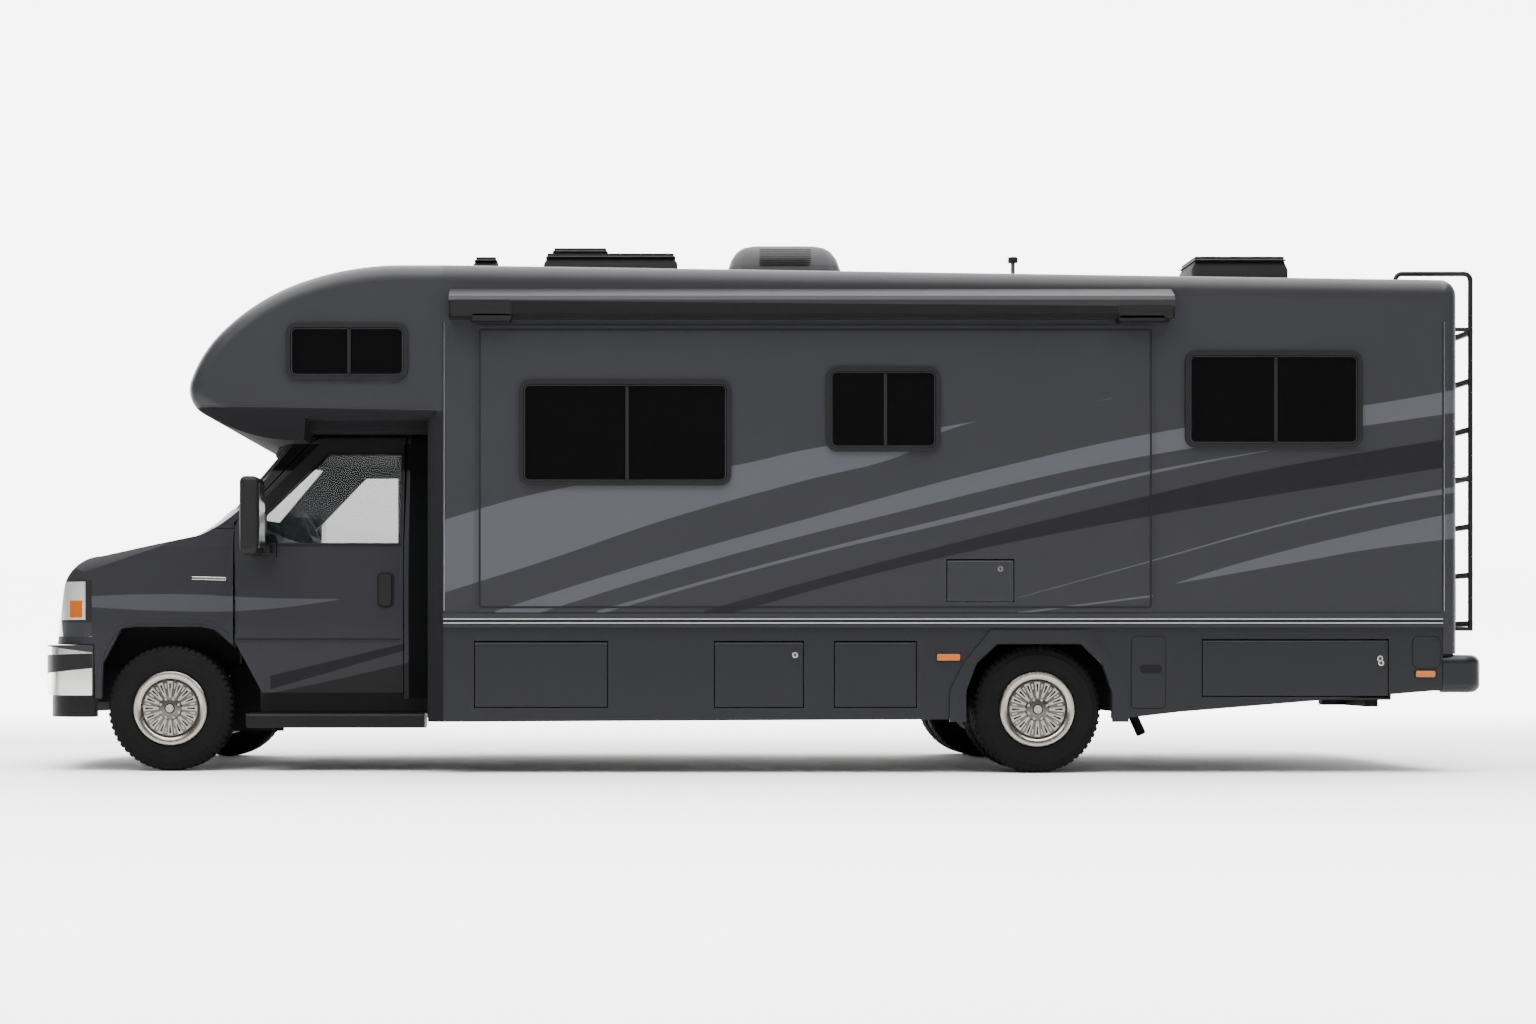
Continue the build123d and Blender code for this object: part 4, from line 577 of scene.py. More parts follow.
# %% Finishes of the solids
node_finishes = {
    house_paint: ("rear_cap", "service_hatch"),
    nose_paint: ("front_cap",),
    lined_paint: ("left_wall", "right_wall", "slide_out", "entry_door"),
    skirt_paint: ("left_skirt", "right_skirt", "baggage_door_left_1", "baggage_door_left_2",
                  "baggage_door_left_3", "baggage_door_left_4", "baggage_door_right_1",
                  "baggage_door_right_2", "rear_bumper"),
    cab_paint: ("cab_shell", "cab_door_left", "cab_door_right", "hood", "fenders"),
    roof_coat: ("roof",),
    chrome: ("grille",),
    bumper_bands: ("front_bumper",),
    lamp_cluster: ("headlamps",),
    awning_cover: ("awning",),
    cooler_case: ("air_conditioner",),
    red_lens: ("tail_lamps",),
    cab_glass: ("windshield", "door_glass_left", "door_glass_right"),
    window_glass: ("house_windows", "slide_windows"),
    wheel_metal: ("wheel_front_left", "wheel_front_right", "wheels_rear_left", "wheels_rear_right"),
    rubber: ("tyre_front_left", "tyre_front_right", "tyres_rear_left", "tyres_rear_right"),
    seat_cloth: ("seats",),
    floor_boards: ("floor",),
    bumper_plastic: ("front_valance", "steps"),
    black_plastic: ("mirror_left", "mirror_right", "dashboard", "roof_vents", "tanks", "ladder"),
    chassis_black: ("frame_rails", "tow_hitch", "front_axle", "knuckle_left", "knuckle_right", "rear_axle",
                    "leaf_springs", "powertrain", "exhaust"),
}
for material, names in node_finishes.items():
    for name in names:
        nodes[name].data.materials.clear()
        nodes[name].data.materials.append(material)
print("dressed solids:", sum(len(names) for names in node_finishes.values()))

# %% [markdown]
# ## Finding the panels
# Trim is fixed to panels that bulge and lean. Its place could be copied from a drawing of each panel, but
# then it would hang in the air when a panel changes. Here a ray is sent at the solid and the point that
# it meets is the seat of the piece. `seat` is how far a fitting is sunk, so that no gap shows at its
# foot.

# %% Feeling for a surface
seat = 0.004
ray_start = 3.0
ray_height = 4.0
sides = (("left", -1), ("right", 1))
feelers = {}


def touch(node, start, way):
    """First point of a solid met from a starting point along a direction."""
    if node not in feelers:
        feelers[node] = BVHTree.FromObject(nodes[node], bpy.context.evaluated_depsgraph_get())
    return feelers[node].ray_cast(Vector(start), Vector(way))[0]


def skin(node, x, z, side):
    """Outermost y of a solid at a given length and height, felt from one side."""
    return touch(node, (x, side * ray_start, z), (0, -side, 0)).y


def deck(x, y):
    """Height of the roof at a place."""
    return touch("roof", (x, y, ray_height), (0, 0, -1)).z


print("roof over the middle:", round(deck(0.0, 0.0), 3))

# %% [markdown]
# ## Small pieces
# Whatever is screwed, glued or pressed onto the panels is a handful of plates, frames and bars, and nearly
# all of them have round corners. A bevel could round them later, but it also rounds the edges that should
# stay flat. So an outline is drawn with its corners as arcs, and a second one inside it makes a frame.

# %% Outlines
def rounded(x0, x1, z0, z1, radius, steps=6):
    """Outline of a rectangle with round corners, as (x, z) points."""
    corners = ((x1 - radius, z1 - radius, 0), (x0 + radius, z1 - radius, 1), (x0 + radius, z0 + radius, 2),
               (x1 - radius, z0 + radius, 3))
    turns = [(i / steps) * math.pi / 2 for i in range(steps + 1)]
    return [(x + radius * math.cos(q * math.pi / 2 + a), z + radius * math.sin(q * math.pi / 2 + a))
            for x, z, q in corners for a in turns]


def inset_outline(x0, x1, z0, z1, corner, inset):
    """The same outline drawn in by an inset, with its corners about the same middles."""
    return rounded(x0 + inset, x1 - inset, z0 + inset, z1 - inset, corner - inset)


print("points of an outline:", len(rounded(0.0, 1.0, 0.0, 1.0, 0.1)))

# %% [markdown]
# ## Forms
# Blender's own primitives would each need to be placed and joined. A `Form` gathers simple shapes as skins
# over loops of points, so one piece can hold many shapes and materials, as a real fitting does. `make`
# hangs it on its body and names the solid that it stands for.

# %% Forms
sharp_angle = math.radians(32)


class Form:
    """Simple shapes gathered into one piece; a tone is the number of a shape's material."""

    def __init__(self):
        self.spots = []
        self.faces = []
        self.tones = []

    def add(self, spots, faces, tone=0):
        start = len(self.spots)
        self.spots += [Vector(p) for p in spots]
        self.faces += [[start + i for i in face] for face in faces]
        self.tones += [tone] * len(faces)

    def loft(self, loops, tone=0, caps=True):
        """Skin over loops of equally many points."""
        count = len(loops[0])
        faces = []
        for row in range(len(loops) - 1):
            for i in range(count):
                j = (i + 1) % count
                faces.append((row * count + i, row * count + j, (row + 1) * count + j, (row + 1) * count + i))
        if caps:
            faces.append(range(count))
            faces.append(range((len(loops) - 1) * count, len(loops) * count))
        self.add([p for loop in loops for p in loop], faces, tone)

    def slab(self, outline, y0, y1, tone=0):
        """Plate of an (x, z) outline between two y."""
        self.loft([[(x, y, z) for x, z in outline] for y in (y0, y1)], tone)

    def box(self, low, high, tone=0):
        (x0, y0, z0), (x1, y1, z1) = low, high
        self.slab(((x0, z0), (x1, z0), (x1, z1), (x0, z1)), y0, y1, tone)

    def ring(self, outer, lining_and_shade_mask, y0, y1, tone=0):
        """Frame between two outlines."""
        path = ((outer, y0), (outer, y1), (lining_and_shade_mask, y1), (lining_and_shade_mask, y0), (outer, y0))
        self.loft([[(x, y, z) for x, z in line] for line, y in path], tone, caps=False)

    def bar(self, start, end, radius, tone=0, sides=12):
        """Round bar between two points."""
        start, end = Vector(start), Vector(end)
        turn = (end - start).to_track_quat("Z", "Y")
        rim = [turn @ Vector((radius * math.cos(a), radius * math.sin(a), 0))
               for a in (2 * math.pi * i / sides for i in range(sides))]
        self.loft([[p + r for r in rim] for p in (start, end)], tone)

    def shown(self, name, materials):
        """The gathered shapes as one mesh in the scene."""
        mesh = bpy.data.meshes.new(name)
        mesh.from_pydata(self.spots, [], self.faces)
        for material in materials:
            mesh.materials.append(material)
        mesh.polygons.foreach_set("material_index", self.tones)
        work = bmesh.new()
        work.from_mesh(mesh)
        bmesh.ops.recalc_face_normals(work, faces=work.faces)
        work.to_mesh(mesh)
        work.free()
        mesh.shade_smooth()
        mesh.set_sharp_from_angle(angle=sharp_angle)
        piece = bpy.data.objects.new(name, mesh)
        bpy.context.collection.objects.link(piece)
        return piece

    def make(self, name, materials, body, slot, *stands_for, bevel=0.0):
        """One piece from the gathered shapes, riding on its body."""
        piece = self.shown(name, materials)
        if bevel:
            edge = piece.modifiers.new("edge", "BEVEL")
            edge.width = bevel
            edge.segments = 2
            edge.limit_method = "ANGLE"
            edge.harden_normals = True
        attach(piece, body)
        if stands_for:
            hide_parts(*stands_for)
        return piece


print("shapes of a form:", [name for name in vars(Form) if not name.startswith("_")])

# %% [markdown]
# ## House windows
# Each window is a black frame with rounded corners, a thin grey bead inside it, a dark pane and a bar
# between its two halves. It could be cut from the wall's solid, but a frame is pushed into a hole and
# clamped, so it is a piece of its own that stands a little proud. A table gives the eight places; the two
# in the slide-out travel with it.

# %% Windows
house_face = 1.25
slide_face = 1.262
window_rows = (
    # name, body, side, face, x0, x1, z0, z1, replaced solid
    ("slide_front", "slide_out", -1, slide_face, -1.314, -0.084, 1.669, 2.283, "slide_windows"),
    ("slide_rear", "slide_out", -1, slide_face, 0.467, 1.128, 1.866, 2.359, "slide_windows"),
    ("bedroom_left", "coach", -1, house_face, 2.549, 3.576, 1.889, 2.452, "house_windows"),
    ("bunk_left", "coach", -1, house_face, -2.665, -1.957, 2.283, 2.614, "house_windows"),
    ("bedroom_right", "coach", 1, house_face, 2.549, 3.576, 1.889, 2.452, "house_windows"),
    ("bunk_right", "coach", 1, house_face, -2.665, -1.957, 2.283, 2.614, "house_windows"),
    ("dinette", "coach", 1, house_face, -1.300, -0.080, 1.669, 2.283, "house_windows"),
    ("galley", "coach", 1, house_face, 1.250, 1.910, 1.866, 2.359, "house_windows"),
)
corner_radius = 0.062
frame_width = 0.026
frame_proud = 0.015
bead_gap = 0.004
bead_width = 0.005
bead_proud = 0.007
pane_depth = 0.030
pane_proud = 0.003
bar_half = 0.009
bar_shift = 0.012
insets = (0.0, frame_width, frame_width + bead_gap, frame_width + bead_gap + bead_width)
for name, body, side, face, x0, x1, z0, z1, node in window_rows:
    rims = [inset_outline(x0, x1, z0, z1, corner_radius, inset) for inset in insets]
    wall_y = side * face
    middle = (x0 + x1) / 2 + bar_shift
    window = Form()
    window.ring(rims[0], rims[1], wall_y, wall_y + side * frame_proud)
    window.ring(rims[2], rims[3], wall_y - side * seat, wall_y + side * bead_proud, tone=1)
    window.slab(rims[1], wall_y - side * pane_depth, wall_y + side * pane_proud, tone=2)
    window.box((middle - bar_half, wall_y, z0 + frame_width),
               (middle + bar_half, wall_y + side * bead_proud, z1 - frame_width), tone=3)
    window.make("window_" + name, (black_plastic, bead_grey, window_glass, pane_bar), body, "glass", node)
print("windows:", len(window_rows))

# %% [markdown]
# ## Tyres
# A tyre is a turned rubber ring with raised rings on its wall, shoulder lugs and blocks across the tread.
# The tread could be a bump, but its edge is seen against the arch. So the wall is one section turned
# about the axle, and each lug is a small solid of its own, set all round by a loop.

# %% Tyre sizes
tyre_half = 0.111
tread_radius = 0.3645
lug_radius = 0.3715
wall_steps = 120
lug_count = 58
lug_share = 0.30
block_share = 0.62
block_gap = 0.004
block_sunk = 0.003
tyre_section = (
    # radius, half width
    (0.214, 0.086), (0.222, 0.098), (0.232, 0.1035), (0.240, 0.1055), (0.246, 0.1035), (0.262, 0.108),
    (0.290, 0.1105), (0.312, 0.1085), (0.316, 0.1100), (0.320, 0.1075), (0.338, 0.104), (0.352, 0.098),
    (0.3605, 0.090), (tread_radius, 0.078),
)
shoulder_lug = (
    # half width, radius
    (0.066, 0.361), (0.066, lug_radius), (0.090, 0.3695), (0.1035, 0.348), (0.1035, 0.334), (0.097, 0.334),
)
block_rows = (
    # y, width, turn in lugs
    (-0.030, 0.034, 0.25),
    (0.006, 0.034, 0.75),
    (0.036, 0.026, 0.0),
    (-0.036, 0.026, 0.5),
)
print("tread blocks of a tyre:", lug_count * (2 + len(block_rows)))

# %% [markdown]
# Wheels are made on a lathe and pierced or ribbed on an indexing table. A Screw modifier could turn a
# section, but each tyre would then need its own object. Two helpers do both jobs inside a form: one turns
# a section about the axle, the other lays a bar along a spoke.

# %% Turned and radial shapes
def lathe(form, profile, centre, steps, tone=0):
    """Turns (radius, y) points about a line along Y."""
    turns = [2 * math.pi * i / steps for i in range(steps)]
    loops = [[centre + Vector((r * math.cos(a), y, r * math.sin(a))) for a in turns] for r, y in profile]
    form.loft(loops, tone, caps=False)


def spoke(form, centre, angle, near, far, low, high, tone=0):
    """Radial bar about a line along Y: near and far are (radius, width), low and high are y."""
    out = Vector((math.cos(angle), 0, math.sin(angle)))
    across = Vector((-out.z, 0, out.x))
    loops = []
    for y in (low, high):
        loops.append([centre + out * r + across * w * s / 2 + Vector((0, y, 0))
                      for (r, w), signs in ((near, (-1, 1)), (far, (1, -1))) for s in signs])
    form.loft(loops, tone)


def tyre_form(form, centre):
    """One tyre: its turned wall and its tread blocks."""
    half = list(tyre_section)
    lathe(form, half + [(r, -y) for r, y in reversed(half)] + [half[0]], centre, wall_steps)
    step = 2 * math.pi / lug_count
    block_arc = block_share * step * lug_radius
    for i in range(lug_count):
        for side, turn in ((-1, 0.0), (1, 0.5)):
            loops = []
            for edge in (-lug_share, lug_share):
                a = (i + turn + edge) * step
                out = Vector((math.cos(a), 0, math.sin(a)))
                loops.append([centre + out * r + Vector((0, side * y, 0)) for y, r in shoulder_lug])
            form.loft(loops)
        for y, wide, turn in block_rows:
            spoke(form, centre + Vector((0, y, 0)), (i + turn) * step, (tread_radius - block_sunk, block_arc),
                  (lug_radius, block_arc), -wide / 2 + block_gap, wide / 2 - block_gap)


print("length of a tread block:", round(block_share * 2 * math.pi / lug_count * lug_radius, 4))

# %% [markdown]
# ## Wheel covers
# The covers are pressed from bright steel: a rolled rim, a dark groove, a disc of radial fins about a
# domed hub, and a ring of nuts. A picture on a flat disc would look right only from the side. Two turned
# sections and rows of radial bars catch the light as the pressing does.

# %% Wheel cover
cover_section = (
    # radius, y
    (0.219, 0.094), (0.2195, 0.104), (0.213, 0.1105), (0.198, 0.112), (0.184, 0.109), (0.1755, 0.102),
    (0.172, 0.092), (0.168, 0.088),
)
disc_section = (
    # radius, y
    (0.168, 0.088), (0.163, 0.094), (0.150, 0.0955), (0.072, 0.099), (0.066, 0.108), (0.050, 0.114),
    (0.030, 0.117), (0.0, 0.1175),
)
cover_steps = 96
fin_count = 16
fin_rows = (
    # turn in fins, near radius, near width, far radius, far width, low, high, drop of every other fin, tone
    (0.0, 0.064, 0.012, 0.160, 0.034, 0.088, 0.1045, 0.004, 0),
    (0.5, 0.118, 0.006, 0.150, 0.012, 0.088, 0.1000, 0.000, 0),
    (0.0, 0.100, 0.006, 0.148, 0.012, 0.099, 0.1052, 0.004, 2),
)
nut_count = 8
nut_circle = 0.058
nut_radius = 0.0085
nut_ys = (0.095, 0.1185)
hub_foot = 0.10
hub_rows = (
    # radius, top, tone
    (0.024, 0.121, 0),
    (0.030, 0.1185, 2),
)


def cover_form(form, centre, side):
    """One wheel cover facing outwards."""
    lathe(form, [(r, side * y) for r, y in cover_section], centre, cover_steps)
    lathe(form, [(r, side * y) for r, y in disc_section], centre, cover_steps, tone=1)
    for i in range(fin_count):
        for turn, near, near_width, far, far_width, low, high, drop, tone in fin_rows:
            spoke(form, centre, 2 * math.pi * (i + turn) / fin_count, (near, near_width), (far, far_width),
                  side * low, side * (high - drop * (i % 2)), tone)
    for i in range(nut_count):
        a = 2 * math.pi * (i + 0.5) / nut_count
        spot = centre + Vector((nut_circle * math.cos(a), 0, nut_circle * math.sin(a)))
        start, end = (spot + Vector((0, side * y, 0)) for y in nut_ys)
        form.bar(start, end, nut_radius, sides=6)
    for radius, top, tone in hub_rows:
        start, end = (centre + Vector((0, side * y, 0)) for y in (hub_foot, top))
        form.bar(start, end, radius, tone, sides=24)


print("fins of a cover:", fin_count * len(fin_rows), "nuts:", nut_count)

# %% [markdown]
# The chassis has single wheels in front and twin wheels at the rear. Each place could be written down; it
# is read from the box of the plain tyre instead, so the dressed wheel always turns about the same axle.
# Tyres ride on the wheel's body, because they spin and steer with it.

# %% Fitting the wheels
for side_name, side in sides:
    for axle, node, body in (("front", f"tyre_front_{side_name}", f"front_wheel_{side_name}"),
                             ("rear", f"tyres_rear_{side_name}", f"rear_wheels_{side_name}")):
        low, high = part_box(node)
        hub = Vector(((low[0] + high[0]) / 2, 0, (low[2] + high[2]) / 2))
        outer_y = (low[1] if side < 0 else high[1]) - side * tyre_half
        inner_y = (high[1] if side < 0 else low[1]) + side * tyre_half
        tyres = Form()
        for y in sorted({round(outer_y, 4), round(inner_y, 4)}):
            tyre_form(tyres, hub + Vector((0, y, 0)))
        tyres.make(f"treaded_{node}", (rubber,), body, "rubber", node)
        cover = Form()
        cover_form(cover, hub + Vector((0, outer_y, 0)), side)
        cover.make(f"wheel_cover_{axle}_{side_name}", (wheel_metal, dull_metal, chassis_black), body,
                   "wheel_metal", bevel=0.0012)
        print("wheel:", axle, side_name, "hub at", [round(v, 3) for v in hub + Vector((0, outer_y, 0))])

# %% [markdown]
# ## Rails and seams
# Two bright beads run along the rail at the foot of the walls, with a dark strip between them, and strips
# cover the seams of the end caps. They could be painted on like the bands, but they stand proud and catch
# the light, so they are thin bars laid on the wall. On the right side they stop at the entry door.

# %% Trim on the walls
rail_beads = (0.897, 0.874)
bead_half = 0.0035
bead_sunk = 0.003
bead_rise = 0.004
strip_rise = 0.001
strip_margin = 0.006
bead_span = (-1.750, 4.040)
entry_span = (0.245, 0.915)
entry_margin = 0.02
rail_feel_shift = 0.3
seam_xs = (-1.7545, 4.0455)
seam_zs = (0.945, 2.62)
seam_rows = (
    # start from the seam, end, proud, tone
    (-0.004, 0.004, 0.0025, 0),
    (0.005, 0.008, 0.002, 1),
)
for side_name, side in sides:
    spans = [bead_span]
    if side > 0:
        spans = [(bead_span[0], entry_span[0] - entry_margin), (entry_span[1] + entry_margin, bead_span[1])]
    beads = Form()
    for x0, x1 in spans:
        for z in rail_beads:
            y = skin(f"{side_name}_wall", (x0 + x1) / 2 + rail_feel_shift, z, side)
            beads.box((x0, y - side * bead_sunk, z - bead_half), (x1, y + side * bead_rise, z + bead_half))
        beads.box((x0, y - side * bead_sunk, rail_beads[1] + strip_margin),
                  (x1, y + side * strip_rise, rail_beads[0] - strip_margin), tone=1)
    beads.make(f"rail_beads_{side_name}", (trim_metal, black_plastic), "coach", "chrome")
    seams = Form()
    y = side * house_face
    for x in seam_xs:
        for start, end, proud, tone in seam_rows:
            seams.box((x + start, y - side * seat, seam_zs[0]), (x + end, y + side * proud, seam_zs[1]), tone)
    seams.make(f"seam_strips_{side_name}", (black_plastic, trim_metal), "coach", "dark_plastic")
print("rail beads:", len(rail_beads), "seams on a side:", len(seam_xs))

# %% [markdown]
# ## Slide-out edge and awning ends
# A dark seal runs round the face of the slide-out, and the awning's case is held by a stepped black
# bracket at each end. Both could be part of the solids. They are left to this script because they carry
# no load here, and a frame and a few rounded plates say all that is seen of them.

# %% Seal and brackets
slide_span = (-1.547, 2.354, 0.960, 2.578)
seal_width = 0.011
seal_corners = (0.02, 0.012)
seal_ys = (-slide_face + 0.002, -slide_face - 0.003)
x0, x1, z0, z1 = slide_span
edge_trim = Form()
edge_trim.ring(rounded(*slide_span, seal_corners[0]),
               rounded(x0 + seal_width, x1 - seal_width, z0 + seal_width, z1 - seal_width, seal_corners[1]),
               *seal_ys)
edge_trim.make("slide_out_edge_trim", (black_plastic,), "slide_out", "dark_plastic")
bracket_ys = (-1.255, -1.3475)
bracket_corner = 0.012
bracket_rows = (
    # x0, x1, z0, z1
    (-1.702, -1.355, 2.640, 2.735),
    (-1.580, -1.355, 2.611, 2.655),
    (2.143, 2.455, 2.625, 2.705),
    (2.143, 2.410, 2.611, 2.645),
)
brackets = Form()
for x0, x1, z0, z1 in bracket_rows:
    brackets.slab(rounded(x0, x1, z0, z1, bracket_corner), *bracket_ys)
brackets.make("awning_brackets", (chassis_black,), "coach", "dark_plastic", bevel=0.003)
print("bracket plates:", len(bracket_rows))

# %% [markdown]
# ## Locks
# Baggage doors and the hatch are closed by round cam locks with a slot for the key. A bump would do for
# the slot, but a lock is also what gives a bare door its scale. Each is a flange, a barrel and a slot,
# made on the face of its door and riding on it, so it swings with the door.

# %% Locks of the doors
lock_rows = (
    # name, body and solid, side, x, z
    ("baggage_left_2", "baggage_door_left_2", -1, 0.287, 0.688),
    ("baggage_left_4", "baggage_door_left_4", -1, 3.680, 0.668),
    ("baggage_left_4_lower", "baggage_door_left_4", -1, 3.686, 0.642),
    ("hatch", "service_hatch", -1, 1.476, 1.187),
    ("baggage_right_1", "baggage_door_right_1", 1, -1.100, 0.440),
    ("baggage_right_2", "baggage_door_right_2", 1, 3.190, 0.500),
)
flange_radius = 0.017
barrel_radius = 0.010
slot_half_width = 0.002
slot_half_height = 0.007
flange_proud = 0.007
barrel_proud = 0.009
slot_proud = 0.0105
for name, body, side, x, z in lock_rows:
    y = skin(body, x, z, side)
    lock = Form()
    lock.bar((x, y - side * seat, z), (x, y + side * flange_proud, z), flange_radius, sides=24)
    lock.bar((x, y, z), (x, y + side * barrel_proud, z), barrel_radius, tone=1, sides=16)
    lock.box((x - slot_half_width, y, z - slot_half_height),
             (x + slot_half_width, y + side * slot_proud, z + slot_half_height), tone=2)
    lock.make("lock_" + name, (chrome, dull_metal, chassis_black), body, "chrome")
print("locks:", len(lock_rows))

# %% [markdown]
# ## Skirt doors and markers
# The skirt carries a fuel door, a hatch for the cord and two amber markers on each side. The doors could
# be mere lines in the paint; a thin lid inside a dark gap shows its edge in raking light. They stay shut
# here, so they ride on the coach.

# %% Fuel door, cord hatch and markers
panel_rows = (
    # name, x0, x1, z0, z1, corner
    ("fuel_door", 2.235, 2.440, 0.376, 0.800, 0.030),
    ("cord_hatch", 3.866, 4.036, 0.605, 0.800, 0.045),
)
marker_rows = (
    # name, x0, x1, z0, z1
    ("marker_front", 1.111, 1.244, 0.656, 0.694),
    ("marker_rear", 3.889, 3.999, 0.560, 0.596),
)
gap_width = 0.004
gap_proud = 0.001
lid_inset = 0.005
lid_proud = 0.003
grip_proud = 0.0045
grip_outline = rounded(2.288, 2.416, 0.584, 0.632, 0.020)
marker_margin = 0.008
marker_base_corner = 0.012
marker_corner = 0.008
marker_base_proud = 0.004
marker_proud = 0.012
feel_drop = 0.01


for side_name, side in sides:
    skirt = f"{side_name}_skirt"
    for name, x0, x1, z0, z1, corner in panel_rows:
        y = skin(skirt, (x0 + x1) / 2, z1 - feel_drop, side)
        door = Form()
        door.ring(rounded(x0, x1, z0, z1, corner), inset_outline(x0, x1, z0, z1, corner, gap_width),
                  y - side * seat, y + side * gap_proud, tone=1)
        door.slab(inset_outline(x0, x1, z0, z1, corner, lid_inset), y - side * seat, y + side * lid_proud)
        if name == "fuel_door":
            door.slab(grip_outline, y, y + side * grip_proud, tone=1)
        door.make(f"{name}_{side_name}", (skirt_paint, chassis_black), "coach", "body_paint", bevel=0.001)
    for name, x0, x1, z0, z1 in marker_rows:
        y = skin(skirt, (x0 + x1) / 2, z1 - feel_drop, side)
        marker = Form()
        base_outline = rounded(x0 - marker_margin, x1 + marker_margin, z0 - marker_margin, z1 + marker_margin,
                               marker_base_corner)
        marker.slab(base_outline, y - side * seat, y + side * marker_base_proud)
        marker.slab(rounded(x0, x1, z0, z1, marker_corner), y, y + side * marker_proud, tone=1)
        marker.make(f"{name}_{side_name}", (black_plastic, amber_lens), "coach", "tail_lens", bevel=0.002)
print("skirt doors:", len(sides) * len(panel_rows), "markers:", len(sides) * len(marker_rows))

# %% [markdown]
# ## Cab pieces
# A cab door has a pull handle in a dark cup and a mirror with its glass; behind the wheels, black liners
# close the view into the arches and the sills, and a dark plate stands behind the grille. Liners are
# moulded in one bent shell, but from outside only their flat walls show, so each is a table of thin
# plates.

# %% Handles, mirrors and liners
handle_box = (-2.167, -2.066, 0.966, 1.180)
cup_corner = 0.034
cup_depth = 0.012
cup_proud = 0.004
grip_inset_x = 0.012
grip_inset_z = 0.014
grip_corner = 0.028
pull_proud = 0.018
mirror_xs = (-2.815, -2.8075)
mirror_insets = (0.035, 0.215)
mirror_zs = (1.310, 1.680)
liner_rows = (
    # x0, x1, inner y, outer y, z0, z1
    (-3.970, -2.800, 0.500, 0.508, 0.620, 1.100),
    (-3.970, -3.660, 0.500, 0.508, 0.400, 0.630),
    (-3.130, -2.800, 0.500, 0.508, 0.220, 0.630),
    (-3.800, -2.965, 0.500, 0.930, 0.905, 0.915),
    (-2.985, -2.965, 0.500, 0.800, 0.740, 1.050),
    (-3.030, -3.015, 0.780, 0.930, 0.730, 1.050),
    (-2.992, -2.982, 0.780, 0.930, 0.640, 0.750),
    (-2.868, -2.846, 0.500, 0.800, 0.600, 0.760),
    (-2.868, -2.846, 0.500, 0.930, 0.270, 0.620),
    (-2.868, -1.872, 0.500, 0.940, 0.340, 0.505),
    (-2.062, -1.985, 0.800, 0.815, 0.500, 1.955),
    (-3.045, -2.972, 0.800, 0.815, 0.800, 1.500),
    (1.150, 2.260, 0.620, 0.628, 0.620, 0.855),
    (1.255, 1.270, 0.620, 1.190, 0.360, 0.820),
    (2.135, 2.150, 0.620, 1.190, 0.360, 0.820),
)
for side_name, side in sides:
    door = f"cab_door_{side_name}"
    x0, x1, z0, z1 = handle_box
    y = skin(door, (x0 + x1) / 2, (z0 + z1) / 2, side)
    handle = Form()
    handle.slab(rounded(*handle_box, cup_corner), y - side * cup_depth, y + side * cup_proud)
    grip = rounded(x0 + grip_inset_x, x1 - grip_inset_x, z0 + grip_inset_z, z1 - grip_inset_z, grip_corner)
    handle.slab(grip, y, y + side * pull_proud, tone=1)
    handle.make(f"door_handle_{side_name}", (chassis_black, black_plastic), door, "dark_plastic", bevel=0.005)
    low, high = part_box(f"mirror_{side_name}")
    outer = low[1] if side < 0 else high[1]
    glass = Form()
    glass.box((mirror_xs[0], outer - side * mirror_insets[0], mirror_zs[0]),
              (mirror_xs[1], outer - side * mirror_insets[1], mirror_zs[1]))
    glass.make(f"mirror_glass_{side_name}", (chrome,), door, "chrome", bevel=0.003)
    liner = Form()
    for x0, x1, y0, y1, z0, z1 in liner_rows:
        liner.box((x0, side * y0, z0), (x1, side * y1, z1))
    liner.make(f"wheel_liner_{side_name}", (chassis_black,), "coach", "dark_plastic")
backing_corners = ((-3.92, -0.60, 0.775), (-3.90, 0.60, 1.105))
backing = Form()
backing.box(*backing_corners)
backing.make("grille_backing", (chassis_black,), "coach", "dark_plastic")
print("liner plates on a side:", len(liner_rows))

# %% [markdown]
# ## Lines on the panels
# Pressed panels have lines: the edge of the front arch, the crease of the door, a bright strip on the
# wing and the joint between the nose and its chin. They could be cut into the solids or faked in the
# bump. A bead that follows the skin along a path of points gives a real edge for the light, and the
# door's window frame is laid the same way. The black strip in the door's crease is painted shade, and the
# grey strip beside the chin's dark joint is a painted highlight.

# %% Panel lines
arch_line = ((-3.812, 0.470), (-3.806, 0.640), (-3.780, 0.720), (-3.735, 0.800), (-3.690, 0.846),
             (-3.640, 0.872), (-3.580, 0.884), (-3.400, 0.886), (-3.210, 0.884), (-3.150, 0.872),
             (-3.090, 0.840), (-3.040, 0.790))
wing_strip = ((-3.262, 1.143), (-3.200, 1.142), (-3.130, 1.140), (-3.060, 1.138))
door_crease = ((-2.995, 0.783), (-2.700, 0.783), (-2.400, 0.783), (-2.030, 0.783))
chin_line = ((-3.170, 2.1270), (-3.150, 2.1265), (-3.120, 2.1260), (-3.080, 2.1255), (-3.000, 2.1245),
             (-2.800, 2.1215), (-2.400, 2.1145), (-2.000, 2.1080), (-1.800, 2.1045))
pane_rim = ((-2.872, 1.333), (-2.022, 1.333), (-2.022, 1.962), (-2.512, 1.962), (-2.872, 1.592))
pane_lip = ((-2.841, 1.346), (-2.027, 1.346), (-2.027, 1.896), (-2.468, 1.896), (-2.841, 1.523))
line_step = 0.008


def bead(form, node, path, side, width, proud, tone=0):
    """Strip along a path of (x, z) points, following the surface of a solid."""
    loops = []
    for i, (x, z) in enumerate(path):
        before, after = Vector(path[max(i - 1, 0)]), Vector(path[min(i + 1, len(path) - 1)])
        along = (after - before).normalized()
        y = skin(node, x, z, side)
        loops.append([(x - along.y * width * across, y + side * lift, z + along.x * width * across)
                      for across, lift in ((-0.5, -seat), (-0.5, proud), (0.5, proud), (0.5, -seat))])
    form.loft(loops, tone)


def shifted(path, rise):
    """The same path, raised or lowered."""
    return [(x, z + rise) for x, z in path]


